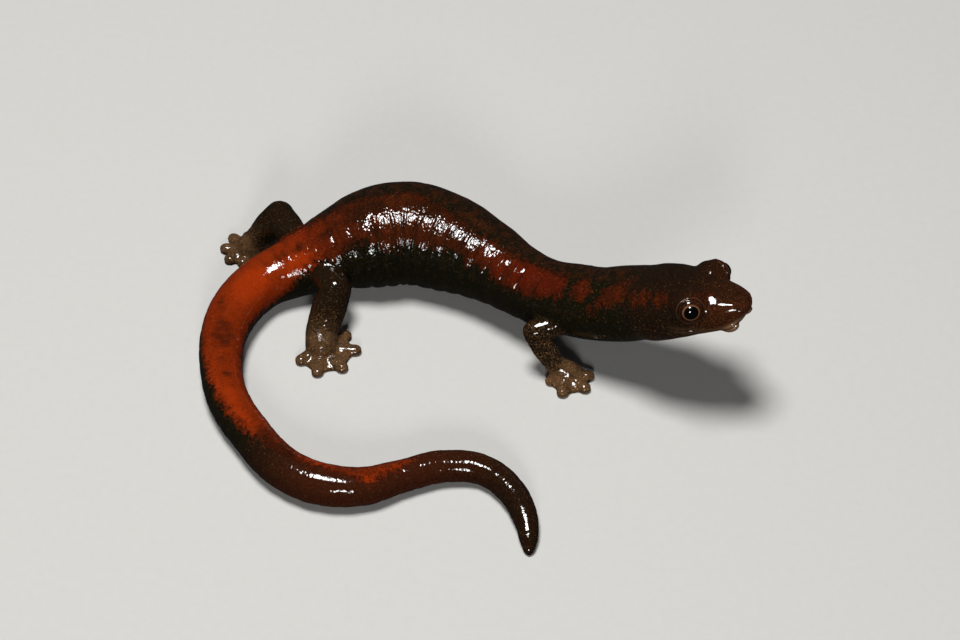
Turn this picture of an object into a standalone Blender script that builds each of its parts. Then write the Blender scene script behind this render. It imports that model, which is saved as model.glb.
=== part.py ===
"""La Palma salamander (Bolitoglossa subpalmata), a still life-size model.

The animal rests on a flat floor at z = 0 with its head raised and turned to
its right, its trunk in a shallow bow and its tail curled round beside it.
Sizes are in millimetres and are turned to metres when a mesh is made.
The head points to +X and the animal's right side faces -Y.
"""
import math

import bmesh
import bpy
import numpy as np
from mathutils import Matrix, Vector

MM = 0.001
GAP = 0.3                       # between two neighbouring pieces
FLOOR = 0.0
PLACE = np.array([0.75, 8.69, 0.0])   # brings the middle of the whole animal over the origin

# Head: a straight axis from the tip of the snout back to the nape
SNOUT_TIP = np.array([25.6, -10.7, 14.1])
HEAD_YAW = math.radians(27.0)   # turned to the animal's right
HEAD_PITCH = math.radians(25.5)  # nose up
HEAD_ROLL = math.radians(7.0)   # its left side a little lower than its right
HEAD_LENGTH = 11.7              # snout to the fold of the throat

# Head: distance behind the snout, half width, height above and depth below the axis
HEAD = [
    (0.00, 0.20, 0.18, 0.18),
    (0.12, 0.62, 0.40, 0.45),
    (0.50, 1.20, 0.70, 0.86),
    (1.00, 1.62, 0.98, 1.36),
    (1.60, 2.05, 1.28, 1.82),
    (2.80, 2.62, 1.85, 2.18),
    (4.80, 3.38, 2.72, 2.42),
    (7.30, 3.98, 3.25, 2.66),
    (9.30, 4.25, 3.40, 2.85),
    (HEAD_LENGTH, 3.92, 3.32, 3.15),
]
SNOUT_RINGS = [0.0, 0.05, 0.12, 0.28, 0.5, 0.75, 1.0, 1.3]
HEAD_STEP = 0.72                # between the rings behind the snout
NECK_FRONT = (3.95, 3.20)       # half width and half height where the neck meets the head

# Line of the mouth: distance behind the snout and height over the axis, from the front to a corner
MOUTH = [(1.00, -1.25), (1.45, -1.45), (2.20, -1.58), (3.30, -1.48), (4.40, -1.12), (5.60, -0.75),
         (6.60, -0.48), (7.40, -0.32)]
MOUTH_STEP = 0.42
MOUTH_GROOVE_RADIUS = 0.15
MOUTH_FRONT = 0.3               # to the side of the middle, where the front of the mouth turns
LIP_RADIUS = 0.32
LIP_SUNK = 0.22                 # of a lip's middle under the face
UPPER_LIP_OVER = 0.30           # of the lips' middles over and under the mouth line
LOWER_LIP_UNDER = 0.34
LIP_SHORT = 0.3                 # of the lips before the corners of the mouth
ROD_SIDES = 6

# Trunk and tail: x, y and height of the middle, half width, half height
BODY = {
    "nape": (14.2, -5.15, 8.15, 3.80, 3.40),
    "neck": (11.7, -4.25, 7.05, 3.62, 3.40),
    "shoulders": (9.4, -3.1, 6.3, 3.55, 3.40),
    "armpits": (6.8, -1.75, 5.7, 3.38, 3.30),
    "chest": (3.8, 0.65, 5.2, 3.42, 3.40),
    "ribs": (0.6, 3.62, 4.8, 4.05, 3.98),
    "belly_front": (-3.2, 6.1, 4.7, 4.80, 4.75),
    "belly": (-7.4, 7.5, 4.7, 5.10, 5.00),
    "belly_rear": (-11.0, 6.9, 4.5, 5.00, 4.80),
    "loin": (-14.2, 6.1, 3.8, 4.15, 4.00),
    "hips": (-16.9, 5.2, 3.2, 3.40, 3.30),
    "vent": (-19.3, 4.3, 2.7, 2.90, 2.85),
    "tail_root": (-21.6, 3.0, 2.4, 2.62, 2.55),
    "tail_2": (-23.7, 0.5, 2.3, 2.52, 2.45),
    "tail_3": (-25.2, -3.3, 2.1, 2.32, 2.25),
    "tail_4": (-25.4, -7.6, 1.9, 2.10, 2.05),
    "tail_5": (-24.4, -12.2, 1.85, 2.03, 1.98),
    "tail_6": (-22.0, -16.5, 1.8, 1.98, 1.93),
    "tail_7": (-18.9, -20.5, 1.85, 2.02, 1.97),
    "tail_8": (-15.2, -22.6, 1.85, 2.00, 1.95),
    "tail_9": (-11.2, -22.8, 1.7, 1.82, 1.78),
    "tail_10": (-7.6, -21.4, 1.45, 1.59, 1.55),
    "tail_11": (-3.6, -20.1, 1.4, 1.54, 1.50),
    "tail_12": (0.2, -20.4, 1.3, 1.45, 1.41),
    "tail_13": (3.0, -23.0, 1.2, 1.36, 1.32),
    "tail_14": (4.4, -26.6, 0.95, 1.12, 1.08),
    "tail_15": (4.6, -28.9, 0.55, 0.72, 0.70),
    "tail_16": (4.6, -29.7, 0.32, 0.35, 0.34),
    "tail_tip": (4.6, -29.9, 0.20, 0.10, 0.10),
}

# Where the long body is parted into its named lengths
PARTINGS = ["neck", "belly_front", "belly_rear", "vent", "tail_4", "tail_7", "tail_10", "tail_13"]
LENGTHS = ["neck", "torso_front", "torso_middle", "hips", "tail_base", "tail_bend_front",
           "tail_bend_rear", "tail_end", "tail_tip"]

BODY_SIDES = 24
TAIL_SIDES = 18
HEAD_SIDES = 32
LIMB_SIDES = 12
TURN_LENGTH = 1.2               # each way, over which the spine's direction is evened out
TAIL_STEP = 1.3                 # between the rings of the tail
TIP_STEP = 0.35                 # and of its last millimetre
TIP_LENGTH = 1.25
SQUARENESS = 2.2                # superellipse power of the body's section
HEAD_SQUARENESS = 2.3

# Costal grooves: upright folds of the flank, one for each rib
GROOVES = 13
GROOVE_DEPTH = 0.18
GROOVE_SHARE = 0.30             # of the spacing taken by one groove
RINGS_A_GROOVE = 3

# Eyes
EYE_BEHIND_SNOUT = 4.70
EYE_SIDE = 2.90
EYE_ABOVE = 1.44
EYE_RADIUS = 1.05
SOCKET_RADIUS = EYE_RADIUS + 0.20
LID_RADIUS = SOCKET_RADIUS + 0.27
LID_OPENING = [(0.3, 0.62), (LID_RADIUS + 0.4, 1.10)]   # cone between the lids: way out and radius
LID_OPENING_WIDE = 1.08         # the opening is a little wider than high
LID_OPENING_HIGH = 0.92
EYE_OUT = math.radians(52.0)    # the gaze from straight ahead towards the side
EYE_UP = math.radians(2.0)
BROW_SUNK = 0.75                # the mound round each eye, along the gaze
BROW_RADII = (1.45, 1.92, 1.70)

# Nose
NOSTRIL_RADIUS = 0.22
NOSTRIL_PLACE = (0.62, 1.14, 0.10)      # behind the snout, to the side, above the axis
NASAL_SWELLING = (2.05, 1.45, -1.52)    # of the upper lip under each nostril
NASAL_SWELLING_RADII = (1.05, 0.62, 0.62)

# Limbs: x, y, height and radius of the root in the body, the elbow or knee, the wrist and the sole
LIMBS = {
    "arm_right": [(10.6, -4.4, 5.9, 1.20), (5.3, -6.0, 5.0, 1.15), (7.3, -7.1, 1.60, 1.12),
                  (8.6, -7.4, 0.85, 1.08)],
    "arm_left": [(9.2, -1.4, 5.2, 1.20), (8.0, 3.1, 2.9, 1.15), (9.5, 4.2, 1.50, 1.12),
                 (10.7, 4.6, 0.85, 1.05)],
    "leg_right": [(-16.3, 4.6, 3.4, 1.65), (-14.3, 0.4, 4.1, 1.62), (-15.75, -2.9, 1.65, 1.75),
                  (-15.7, -4.1, 0.95, 1.60)],
    "leg_left": [(-18.0, 6.4, 3.4, 1.50), (-20.3, 10.7, 4.0, 1.50), (-22.7, 9.7, 1.60, 1.42),
                 (-23.5, 9.3, 0.90, 1.18)],
}
LIMB_PARTS = {
    "arm_right": ("upper_arm_right", "forearm_right", "hand_right"),
    "arm_left": ("upper_arm_left", "forearm_left", "hand_left"),
    "leg_right": ("thigh_right", "shank_right", "foot_right"),
    "leg_left": ("thigh_left", "shank_left", "foot_left"),
}
LIMB_ROOTS = {"arm_right": "torso_front", "arm_left": "torso_front",
              "leg_right": "hips", "leg_left": "hips"}

# Digits: direction from the middle of the sole in degrees and length, one pair for each
DIGITS = {
    "arm_right": [(-8.0, 2.7), (-48.0, 3.1), (-102.0, 3.1), (-152.0, 2.5)],
    "arm_left": [(75.0, 2.5), (38.0, 3.0), (2.0, 3.0), (-38.0, 2.5)],
    "leg_right": [(36.0, 3.5), (-4.0, 4.0), (-50.0, 3.9), (-96.0, 3.7), (-142.0, 3.1)],
    "leg_left": [(96.0, 2.5), (136.0, 2.9), (176.0, 3.0), (214.0, 2.9), (252.0, 2.4)],
}
DIGIT_SIDES = 10
DIGIT_RADIUS = 0.68
DIGIT_TIP_RADIUS = 0.58
DIGIT_TAPER = [(0.0, 1.0), (0.5, 0.96), (0.82, 0.88)]   # share of the reach and of the radius
DIGIT_CAP_TURNS = (35.0, 65.0, 85.0)
DIGIT_HEIGHT = 0.30             # of a digit's middle above the floor
WEB_REACH = 0.84                # share of the digits' length joined by the web
WEB_NOTCH = 0.84                # how far the web's edge draws in between two digits
WEB_TOP = 0.58
WEB_BOTTOM = -0.3               # sunk under the floor, which cuts it level
CAP_TURNS = [math.radians(turn) for turn in (85.0, 55.0, 25.0, 0.0)]   # rings of a round end
SOLE_RADII = (1.25, 1.25, 0.75)
SOLE_HEIGHT = 0.45              # of the sole's middle above the floor
CUTTER_OVERRUN = 1.5            # of the body beyond the length that a limb grows from
CUTTER_SIZE = 80.0
CUTTER_DEPTH = 4.0

MATERIALS = {
    "back": ((0.090, 0.018, 0.008), 0.28),
    "head": ((0.040, 0.014, 0.008), 0.30),
    "tail": ((0.300, 0.040, 0.010), 0.26),
    "tail_dark": ((0.050, 0.014, 0.008), 0.24),
    "limb": ((0.050, 0.030, 0.022), 0.32),
    "foot": ((0.110, 0.070, 0.055), 0.32),
    "eye": ((0.010, 0.008, 0.006), 0.06),
}


def smooth(knots, values, at):
    """A smooth curve through the values at the knots, read at one place or many."""
    knots = np.asarray(knots, float)
    values = np.asarray(values, float)
    slopes = np.gradient(values, knots, axis=0)
    at = np.clip(at, knots[0], knots[-1])
    i = np.clip(np.searchsorted(knots, at, side="right") - 1, 0, len(knots) - 2)
    width = knots[i + 1] - knots[i]
    t = (at - knots[i]) / width
    if np.ndim(values) > 1 and np.ndim(at) > 0:
        t = t[:, None]
        width = width[:, None]
    start = (1 + 2 * t) * (1 - t) ** 2 * values[i] + t * (1 - t) ** 2 * width * slopes[i]
    end = t ** 2 * (3 - 2 * t) * values[i + 1] + t ** 2 * (t - 1) * width * slopes[i + 1]
    return start + end


def head_axes():
    """Forward, left and up of the head."""
    forward = np.array([math.cos(HEAD_PITCH) * math.cos(HEAD_YAW),
                        -math.cos(HEAD_PITCH) * math.sin(HEAD_YAW), math.sin(HEAD_PITCH)])
    level = np.array([math.sin(HEAD_YAW), math.cos(HEAD_YAW), 0.0])
    left = math.cos(HEAD_ROLL) * level - math.sin(HEAD_ROLL) * np.cross(forward, level)
    return forward, left, np.cross(forward, left)


HEAD_FORWARD, HEAD_LEFT, HEAD_UP = head_axes()


def head_point(behind, side=0.0, above=0.0):
    """A place in the head from its distance behind the snout, to the left and above the axis."""
    return SNOUT_TIP - behind * HEAD_FORWARD + side * HEAD_LEFT + above * HEAD_UP


def axes_along(direction):
    """Forward, left and up for a direction, with left level."""
    forward = direction / np.linalg.norm(direction)
    left = np.cross([0.0, 0.0, 1.0], forward)
    left = left / np.linalg.norm(left)
    return forward, left, np.cross(forward, left)


# The line of the spine: its knots lie at their distance from the tip of the snout
SPINE = np.vstack([np.append(head_point(HEAD_LENGTH), NECK_FRONT), np.array(list(BODY.values()))])
SPINE_AT = HEAD_LENGTH + np.append(0.0, np.cumsum(
    np.linalg.norm(np.diff(SPINE[:, :3], axis=0), axis=1)))
STATION_AT = dict(zip(BODY, SPINE_AT[1:]))
ENDS = [HEAD_LENGTH] + [STATION_AT[name] for name in PARTINGS] + [SPINE_AT[-1]]
FIRST_GROOVE = STATION_AT["armpits"]
GROOVE_SPACING = (STATION_AT["loin"] - FIRST_GROOVE) / GROOVES


def spine(at):
    """Middle, forward, left, up, half width and half height of the body at a distance."""
    here = smooth(SPINE_AT, SPINE, at)
    ahead = smooth(SPINE_AT, SPINE[:, :3], at - TURN_LENGTH)
    behind = smooth(SPINE_AT, SPINE[:, :3], at + TURN_LENGTH)
    direction = (ahead - behind) / np.linalg.norm(ahead - behind)
    share = np.clip((at - HEAD_LENGTH) / (2.0 * TURN_LENGTH), 0.0, 1.0)
    forward, left, up = axes_along((1.0 - share) * HEAD_FORWARD + share * direction)
    return here[:3], forward, left, up, here[3], here[4]


def groove_depth(at):
    """How deep the costal grooves are at a distance along the trunk."""
    phase = (at - FIRST_GROOVE) / GROOVE_SPACING
    if phase < 0.0 or phase > GROOVES:
        return 0.0
    off = (phase % 1.0 - 0.5) / GROOVE_SHARE
    return GROOVE_DEPTH * math.exp(-4.0 * off * off)


def superellipse(angles, half_width, above, below, power=SQUARENESS):
    """Sideways and upward offsets of a section whose top and bottom may differ in height."""
    cos = np.cos(angles)
    sin = np.sin(angles)
    side = half_width * np.sign(cos) * np.abs(cos) ** (2.0 / power)
    height = np.where(sin > 0, above, below)
    return side, height * np.sign(sin) * np.abs(sin) ** (2.0 / power)


def ring(middle, left, up, side, height):
    """The section's points in space, with what would sink under the floor laid flat on it."""
    points = middle + side[:, None] * left + height[:, None] * up
    sunk = np.minimum(points[:, 2] - FLOOR, 0.0)
    return points - (sunk / up[2])[:, None] * up


def body_ring(at, shift, sides, grow=0.0):
    """A section of the body, moved forward by shift and grown by grow."""
    middle, forward, left, up, half_width, half_height = spine(at)
    angles = np.arange(sides) * 2.0 * math.pi / sides
    depth = groove_depth(at) * np.clip(np.abs(np.cos(angles)) * 1.6 - 0.25, 0.0, 1.0)
    side, height = superellipse(angles, half_width + grow, half_height + grow, half_height + grow)
    middle = middle + shift * forward
    if grow:
        return middle + side[:, None] * left + height[:, None] * up
    return ring(middle, left, up, side * (1.0 - depth / half_width), height * (1.0 - depth / half_height))


def make_mesh(name, vertices, faces):
    """A new object from points in millimetres, with its faces turned outward."""
    mesh = bpy.data.meshes.new(name)
    mesh.from_pydata([tuple((np.asarray(v) + PLACE) * MM) for v in vertices], [], faces)
    builder = bmesh.new()
    builder.from_mesh(mesh)
    bmesh.ops.remove_doubles(builder, verts=builder.verts, dist=1e-7)
    bmesh.ops.recalc_face_normals(builder, faces=builder.faces)
    builder.to_mesh(mesh)
    builder.free()
    made = bpy.data.objects.new(name, mesh)
    bpy.context.scene.collection.objects.link(made)
    return made


def loft(name, rings):
    """A closed body through rings of equal count, with a fan over each end."""
    sides = len(rings[0])
    vertices = [p for r in rings for p in r]
    faces = []
    for i in range(len(rings) - 1):
        for j in range(sides):
            k = (j + 1) % sides
            a = i * sides
            b = a + sides
            faces.append((a + j, a + k, b + k, b + j))
    for first in (0, (len(rings) - 1) * sides):
        middle = len(vertices)
        vertices.append(np.mean(vertices[first:first + sides], axis=0))
        faces += [(first + j, first + (j + 1) % sides, middle) for j in range(sides)]
    return make_mesh(name, vertices, faces)


def spaced(start, end, step):
    """Evenly spaced places from start to end, about one step apart."""
    return np.linspace(start, end, max(2, round((end - start) / step) + 1))


def ring_places(front, rear):
    """Where the rings of a length lie: in step with the grooves on the trunk, closer at the tip."""
    if rear == SPINE_AT[-1]:
        tip = rear - TIP_LENGTH
        return np.concatenate([spaced(front, tip - TIP_STEP, TAIL_STEP), spaced(tip, rear, TIP_STEP)])
    if front >= STATION_AT["vent"]:
        return spaced(front, rear, TAIL_STEP)
    step = GROOVE_SPACING / RINGS_A_GROOVE
    first = math.ceil((front - FIRST_GROOVE) / step)
    last = math.floor((rear - FIRST_GROOVE) / step)
    between = FIRST_GROOVE + step * (np.arange(first, last) + 0.5)
    return np.concatenate([[front], between, [rear]])


def body_length(name, front, rear, grow=0.0):
    """One length of the body between two partings, with half the gap kept at each."""
    sides = TAIL_SIDES if front >= STATION_AT["vent"] else BODY_SIDES
    half = GAP / 2
    rings = []
    for at in ring_places(front, rear):
        shift = 0.0
        if at == front:
            shift = -half
        elif at == rear and rear < SPINE_AT[-1]:
            shift = half
        rings.append(body_ring(at, shift, sides, grow))
    return loft(name, rings)


def join(name, pieces, operation="UNION", solver="MANIFOLD"):
    """Joins the pieces to the first one with one Boolean, and removes them."""
    body = pieces[0]
    group = bpy.data.collections.new(name + "_pieces")
    bpy.context.scene.collection.children.link(group)
    for piece in pieces[1:]:
        bpy.context.scene.collection.objects.unlink(piece)
        group.objects.link(piece)
    modifier = body.modifiers.new("join", "BOOLEAN")
    modifier.operand_type = "COLLECTION"
    modifier.collection = group
    modifier.operation = operation
    modifier.solver = solver
    apply_modifiers(body)
    for piece in pieces[1:]:
        bpy.data.objects.remove(piece)
    bpy.data.collections.remove(group)
    keep_largest(body)
    body.name = name
    return body


def cut(body, cutters):
    """Takes the cutters out of a body."""
    return join(body.name, [body] + cutters, "DIFFERENCE")


def apply_modifiers(body):
    """Replaces the mesh by the one that the modifiers give."""
    graph = bpy.context.evaluated_depsgraph_get()
    mesh = bpy.data.meshes.new_from_object(body.evaluated_get(graph))
    body.modifiers.clear()
    body.data = mesh


def keep_largest(body):
    """Keeps the largest closed surface of a mesh and tidies its faces."""
    builder = bmesh.new()
    builder.from_mesh(body.data)
    bmesh.ops.triangulate(builder, faces=builder.faces)
    bmesh.ops.dissolve_degenerate(builder, edges=builder.edges, dist=2e-6)
    left = set(builder.faces)
    shells = []
    while left:
        queue = [left.pop()]
        shell = list(queue)
        while queue:
            face = queue.pop()
            for edge in face.edges:
                for other in edge.link_faces:
                    if other in left:
                        left.remove(other)
                        queue.append(other)
                        shell.append(other)
        shells.append(shell)
    shells.sort(key=lambda shell: sum(f.calc_area() for f in shell))
    for shell in shells[:-1]:
        bmesh.ops.delete(builder, geom=shell, context="FACES")
    builder.to_mesh(body.data)
    builder.free()


def ball(name, middle, radii, axes=None, around=16, along=10):
    """An ellipsoid with its own forward, left and up."""
    mesh = bpy.data.meshes.new(name)
    builder = bmesh.new()
    bmesh.ops.create_uvsphere(builder, u_segments=around, v_segments=along, radius=1.0)
    turn = Matrix.Identity(3) if axes is None else Matrix(np.array(axes).T.tolist())
    scale = Matrix.Diagonal(Vector(radii) * MM)
    builder.transform((turn @ scale).to_4x4())
    bmesh.ops.translate(builder, verts=builder.verts, vec=Vector((np.asarray(middle) + PLACE) * MM))
    builder.to_mesh(mesh)
    builder.free()
    made = bpy.data.objects.new(name, mesh)
    bpy.context.scene.collection.objects.link(made)
    return made


def finish(body, material):
    """Gives a body its material and smooth shading."""
    colour, roughness = MATERIALS[material]
    paint = bpy.data.materials.new(body.name)
    paint.use_nodes = True
    shader = paint.node_tree.nodes["Principled BSDF"]
    shader.inputs["Base Color"].default_value = (*colour, 1.0)
    shader.inputs["Roughness"].default_value = roughness
    shader.inputs["Metallic"].default_value = 0.0
    body.data.materials.clear()
    body.data.materials.append(paint)
    body.data.shade_smooth()
    body.data.set_sharp_from_angle(angle=math.radians(40.0))


def head_size(behind):
    """Half width, height above and depth below the axis at a distance behind the snout."""
    table = np.array(HEAD)
    return smooth(table[:, 0], table[:, 1:], behind)


def head_shape():
    """The head without its eyes and mouth: rings across the axis from the snout to the nape."""
    behind_snout = spaced(SNOUT_RINGS[-1] + HEAD_STEP / 2, HEAD_LENGTH - GAP / 2, HEAD_STEP)
    places = np.concatenate([SNOUT_RINGS, behind_snout])
    angles = np.arange(HEAD_SIDES) * 2.0 * math.pi / HEAD_SIDES
    rings = []
    for at in places:
        half_width, above, below = head_size(at)
        side, height = superellipse(angles, half_width, above, below, HEAD_SQUARENESS)
        rings.append(head_point(at) + side[:, None] * HEAD_LEFT + height[:, None] * HEAD_UP)
    return loft("head", rings)


def on_face(behind, height):
    """How far from the middle the face lies at a distance behind the snout and a height."""
    half_width, above, below = head_size(behind)
    share = min(abs(height) / (above if height > 0 else below), 1.0)
    return half_width * (1.0 - share ** HEAD_SQUARENESS) ** (1.0 / HEAD_SQUARENESS)


def face_front(height):
    """How far behind the snout's tip the face lies in the middle at a height below the axis."""
    table = np.array(HEAD)
    return float(np.interp(-height, table[:, 3], table[:, 0]))


def mouth_rod(name, radius, over, sunk, back_to):
    """A rod along the mouth line from corner to corner, over or under it and sunk in the face."""
    table = np.array(MOUTH)
    half = []
    for at in spaced(table[0, 0], back_to, MOUTH_STEP):
        height = smooth(table[:, 0], table[:, 1], at) + over
        side = on_face(at, height) - sunk
        if side > MOUTH_FRONT:
            half.append((at, side, height))
    front_height = half[0][2]
    front = [(face_front(front_height) + sunk, 0.0, front_height)]
    line = [(at, -side, height) for at, side, height in reversed(half)] + front + half
    points = np.array([head_point(*place) for place in line])
    return rod_along(name, points, radius)


def rod_along(name, points, radius):
    """A thin rod through points, with pointed ends."""
    angles = np.arange(ROD_SIDES) * 2.0 * math.pi / ROD_SIDES
    rings = []
    for i, point in enumerate(points):
        ahead = points[min(i + 1, len(points) - 1)] - points[max(i - 1, 0)]
        forward = ahead / np.linalg.norm(ahead)
        side = np.cross(forward, HEAD_UP)
        side = side / np.linalg.norm(side)
        up = np.cross(side, forward)
        here = radius * (0.25 if i in (0, len(points) - 1) else 1.0)
        rings.append(point + here * (np.cos(angles)[:, None] * side + np.sin(angles)[:, None] * up))
    return loft(name, rings)


def eye_axes(hand):
    """Where an eye sits and its gaze, left and up. hand is 1 on the left and -1 on the right."""
    gaze = (math.cos(EYE_OUT) * math.cos(EYE_UP) * HEAD_FORWARD
            + hand * math.sin(EYE_OUT) * math.cos(EYE_UP) * HEAD_LEFT + math.sin(EYE_UP) * HEAD_UP)
    left = np.cross(HEAD_UP, gaze)
    left = left / np.linalg.norm(left)
    middle = head_point(EYE_BEHIND_SNOUT, hand * EYE_SIDE, EYE_ABOVE)
    return middle, (gaze, left, np.cross(gaze, left))


def lid_opening(hand):
    """The cutter that opens the lids: a cone that widens along the gaze."""
    middle, (gaze, left, up) = eye_axes(hand)
    angles = np.arange(20) * 2.0 * math.pi / 20
    rings = []
    for out, radius in LID_OPENING:
        rings.append(middle + out * gaze + radius * LID_OPENING_WIDE * np.cos(angles)[:, None] * left
                     + radius * LID_OPENING_HIGH * np.sin(angles)[:, None] * up)
    return loft("lid_opening", rings)


def build_head():
    """The head with its lids, mouth, lips, nostrils and nasal swellings, and the two eyes."""
    head_frame = (HEAD_FORWARD, HEAD_LEFT, HEAD_UP)
    corner = MOUTH[-1][0]
    lips_end = corner - LIP_SHORT
    pieces = [head_shape(), mouth_rod("upper_lip", LIP_RADIUS, UPPER_LIP_OVER, LIP_SUNK, lips_end),
              mouth_rod("lower_lip", LIP_RADIUS, -LOWER_LIP_UNDER, LIP_SUNK, lips_end)]
    cutters = [mouth_rod("mouth", MOUTH_GROOVE_RADIUS, 0.0, 0.0, corner)]
    for hand in (-1, 1):
        middle, axes = eye_axes(hand)
        pieces.append(ball("lids", middle, (LID_RADIUS,) * 3, axes, 18, 10))
        pieces.append(ball("brow", middle - BROW_SUNK * axes[0], BROW_RADII, axes, 18, 10))
        behind, side, above = NASAL_SWELLING
        pieces.append(ball("swelling", head_point(behind, hand * side, above),
                           NASAL_SWELLING_RADII, head_frame, 12, 8))
        cutters.append(ball("socket", middle, (SOCKET_RADIUS,) * 3, axes, 16, 10))
        cutters.append(lid_opening(hand))
        behind, side, above = NOSTRIL_PLACE
        cutters.append(ball("nostril", head_point(behind, hand * side, above),
                            (NOSTRIL_RADIUS,) * 3, head_frame, 10, 6))
    head = join("head", pieces)
    head = cut(head, cutters)
    finish(head, "head")
    for hand, name in ((1, "eye_left"), (-1, "eye_right")):
        middle, axes = eye_axes(hand)
        eye = ball(name, middle, (EYE_RADIUS,) * 3, axes, 16, 10)
        finish(eye, "eye")


def build_body():
    """Neck, torso, hips and tail: one long body parted across its spine."""
    for name, front, rear in zip(LENGTHS, ENDS, ENDS[1:]):
        body = body_length(name, front, rear)
        if name.startswith("tail_bend") or name == "tail_base":
            finish(body, "tail")
        elif name.startswith("tail"):
            finish(body, "tail_dark")
        else:
            finish(body, "back")


def bone(name, start, end, start_radius, end_radius):
    """A tapered rod with round ends between two joints."""
    forward = (end - start) / np.linalg.norm(end - start)
    side = np.cross(forward, [0.0, 0.0, 1.0])
    side = side / np.linalg.norm(side)
    up = np.cross(side, forward)
    angles = np.arange(LIMB_SIDES) * 2.0 * math.pi / LIMB_SIDES
    profile = []
    for turn in CAP_TURNS:
        profile.append((start, -start_radius * math.sin(turn), start_radius * math.cos(turn)))
    for share in (1 / 3, 2 / 3):
        middle = start + share * (end - start)
        profile.append((middle, 0.0, start_radius + share * (end_radius - start_radius)))
    for turn in reversed(CAP_TURNS):
        profile.append((end, end_radius * math.sin(turn), end_radius * math.cos(turn)))
    rings = []
    for middle, along, radius in profile:
        rings.append(middle + along * forward
                     + radius * (np.cos(angles)[:, None] * side + np.sin(angles)[:, None] * up))
    return loft(name, rings)


def kept_behind(body, point, normal):
    """Cuts a body with a plane, keeps what lies behind it and closes the cut."""
    builder = bmesh.new()
    builder.from_mesh(body.data)
    geometry = builder.verts[:] + builder.edges[:] + builder.faces[:]
    bmesh.ops.bisect_plane(builder, geom=geometry, plane_co=Vector((point + PLACE) * MM),
                           plane_no=Vector(normal), clear_outer=True, dist=1e-7)
    rim = [edge for edge in builder.edges if len(edge.link_faces) == 1]
    bmesh.ops.edgeloop_fill(builder, edges=rim)
    bmesh.ops.recalc_face_normals(builder, faces=builder.faces)
    builder.to_mesh(body.data)
    builder.free()
    return body


def digit(base, angle, length):
    """One finger or toe, a tapered rod from the middle of the sole with a round tip."""
    direction = np.array([math.cos(math.radians(angle)), math.sin(math.radians(angle)), 0.0])
    side = np.array([-direction[1], direction[0], 0.0])
    up = np.array([0.0, 0.0, 1.0])
    angles = np.arange(DIGIT_SIDES) * 2.0 * math.pi / DIGIT_SIDES
    rings = []
    reach = length - DIGIT_TIP_RADIUS
    profile = [(share * reach, size * DIGIT_RADIUS) for share, size in DIGIT_TAPER]
    profile.append((reach, DIGIT_TIP_RADIUS))
    for turn in DIGIT_CAP_TURNS:
        profile.append((reach + DIGIT_TIP_RADIUS * math.sin(math.radians(turn)),
                        DIGIT_TIP_RADIUS * math.cos(math.radians(turn))))
    for out, radius in profile:
        middle = base + out * direction
        rings.append(middle + radius * np.cos(angles)[:, None] * side + radius * np.sin(angles)[:, None] * up)
    return loft("digit", rings)


def web(base, digits):
    """The skin between the digits: a flat fan whose edge draws in between each pair."""
    outline = []
    for (angle, length), (next_angle, next_length) in zip(digits, digits[1:]):
        outline.append((angle, length * WEB_REACH))
        outline.append(((angle + next_angle) / 2, (length + next_length) / 2 * WEB_REACH * WEB_NOTCH))
    outline.append((digits[-1][0], digits[-1][1] * WEB_REACH))
    rings = []
    for height in (WEB_BOTTOM, WEB_TOP):
        points = [base * [1, 1, 0] + [0, 0, height]]
        for angle, reach in outline:
            points.append([base[0] + reach * math.cos(math.radians(angle)),
                           base[1] + reach * math.sin(math.radians(angle)), height])
        rings.append(np.array(points))
    count = len(rings[0])
    faces = []
    for j in range(count):
        k = (j + 1) % count
        faces.append((j, k, count + k, count + j))
    for j in range(1, count - 1):
        faces.append((0, j, j + 1))
        faces.append((count, count + j, count + j + 1))
    return make_mesh("web", list(rings[0]) + list(rings[1]), faces)


def under_floor():
    """The cutter below the floor, which leaves flat soles."""
    corners = [(-CUTTER_SIZE, -CUTTER_SIZE), (CUTTER_SIZE, -CUTTER_SIZE), (CUTTER_SIZE, CUTTER_SIZE),
               (-CUTTER_SIZE, CUTTER_SIZE)]
    low = [(x, y, FLOOR - CUTTER_DEPTH) for x, y in corners]
    high = [(x, y, FLOOR) for x, y in corners]
    faces = [(0, 1, 2, 3), (4, 5, 6, 7)] + [(i, (i + 1) % 4, 4 + (i + 1) % 4, 4 + i) for i in range(4)]
    return make_mesh("under_floor", low + high, faces)


def body_cutter(limb):
    """The body beside a limb, grown by the gap."""
    root = LENGTHS.index(LIMB_ROOTS[limb])
    return body_length("body_copy", ENDS[root] - CUTTER_OVERRUN, ENDS[root + 1] + CUTTER_OVERRUN, GAP)


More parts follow.
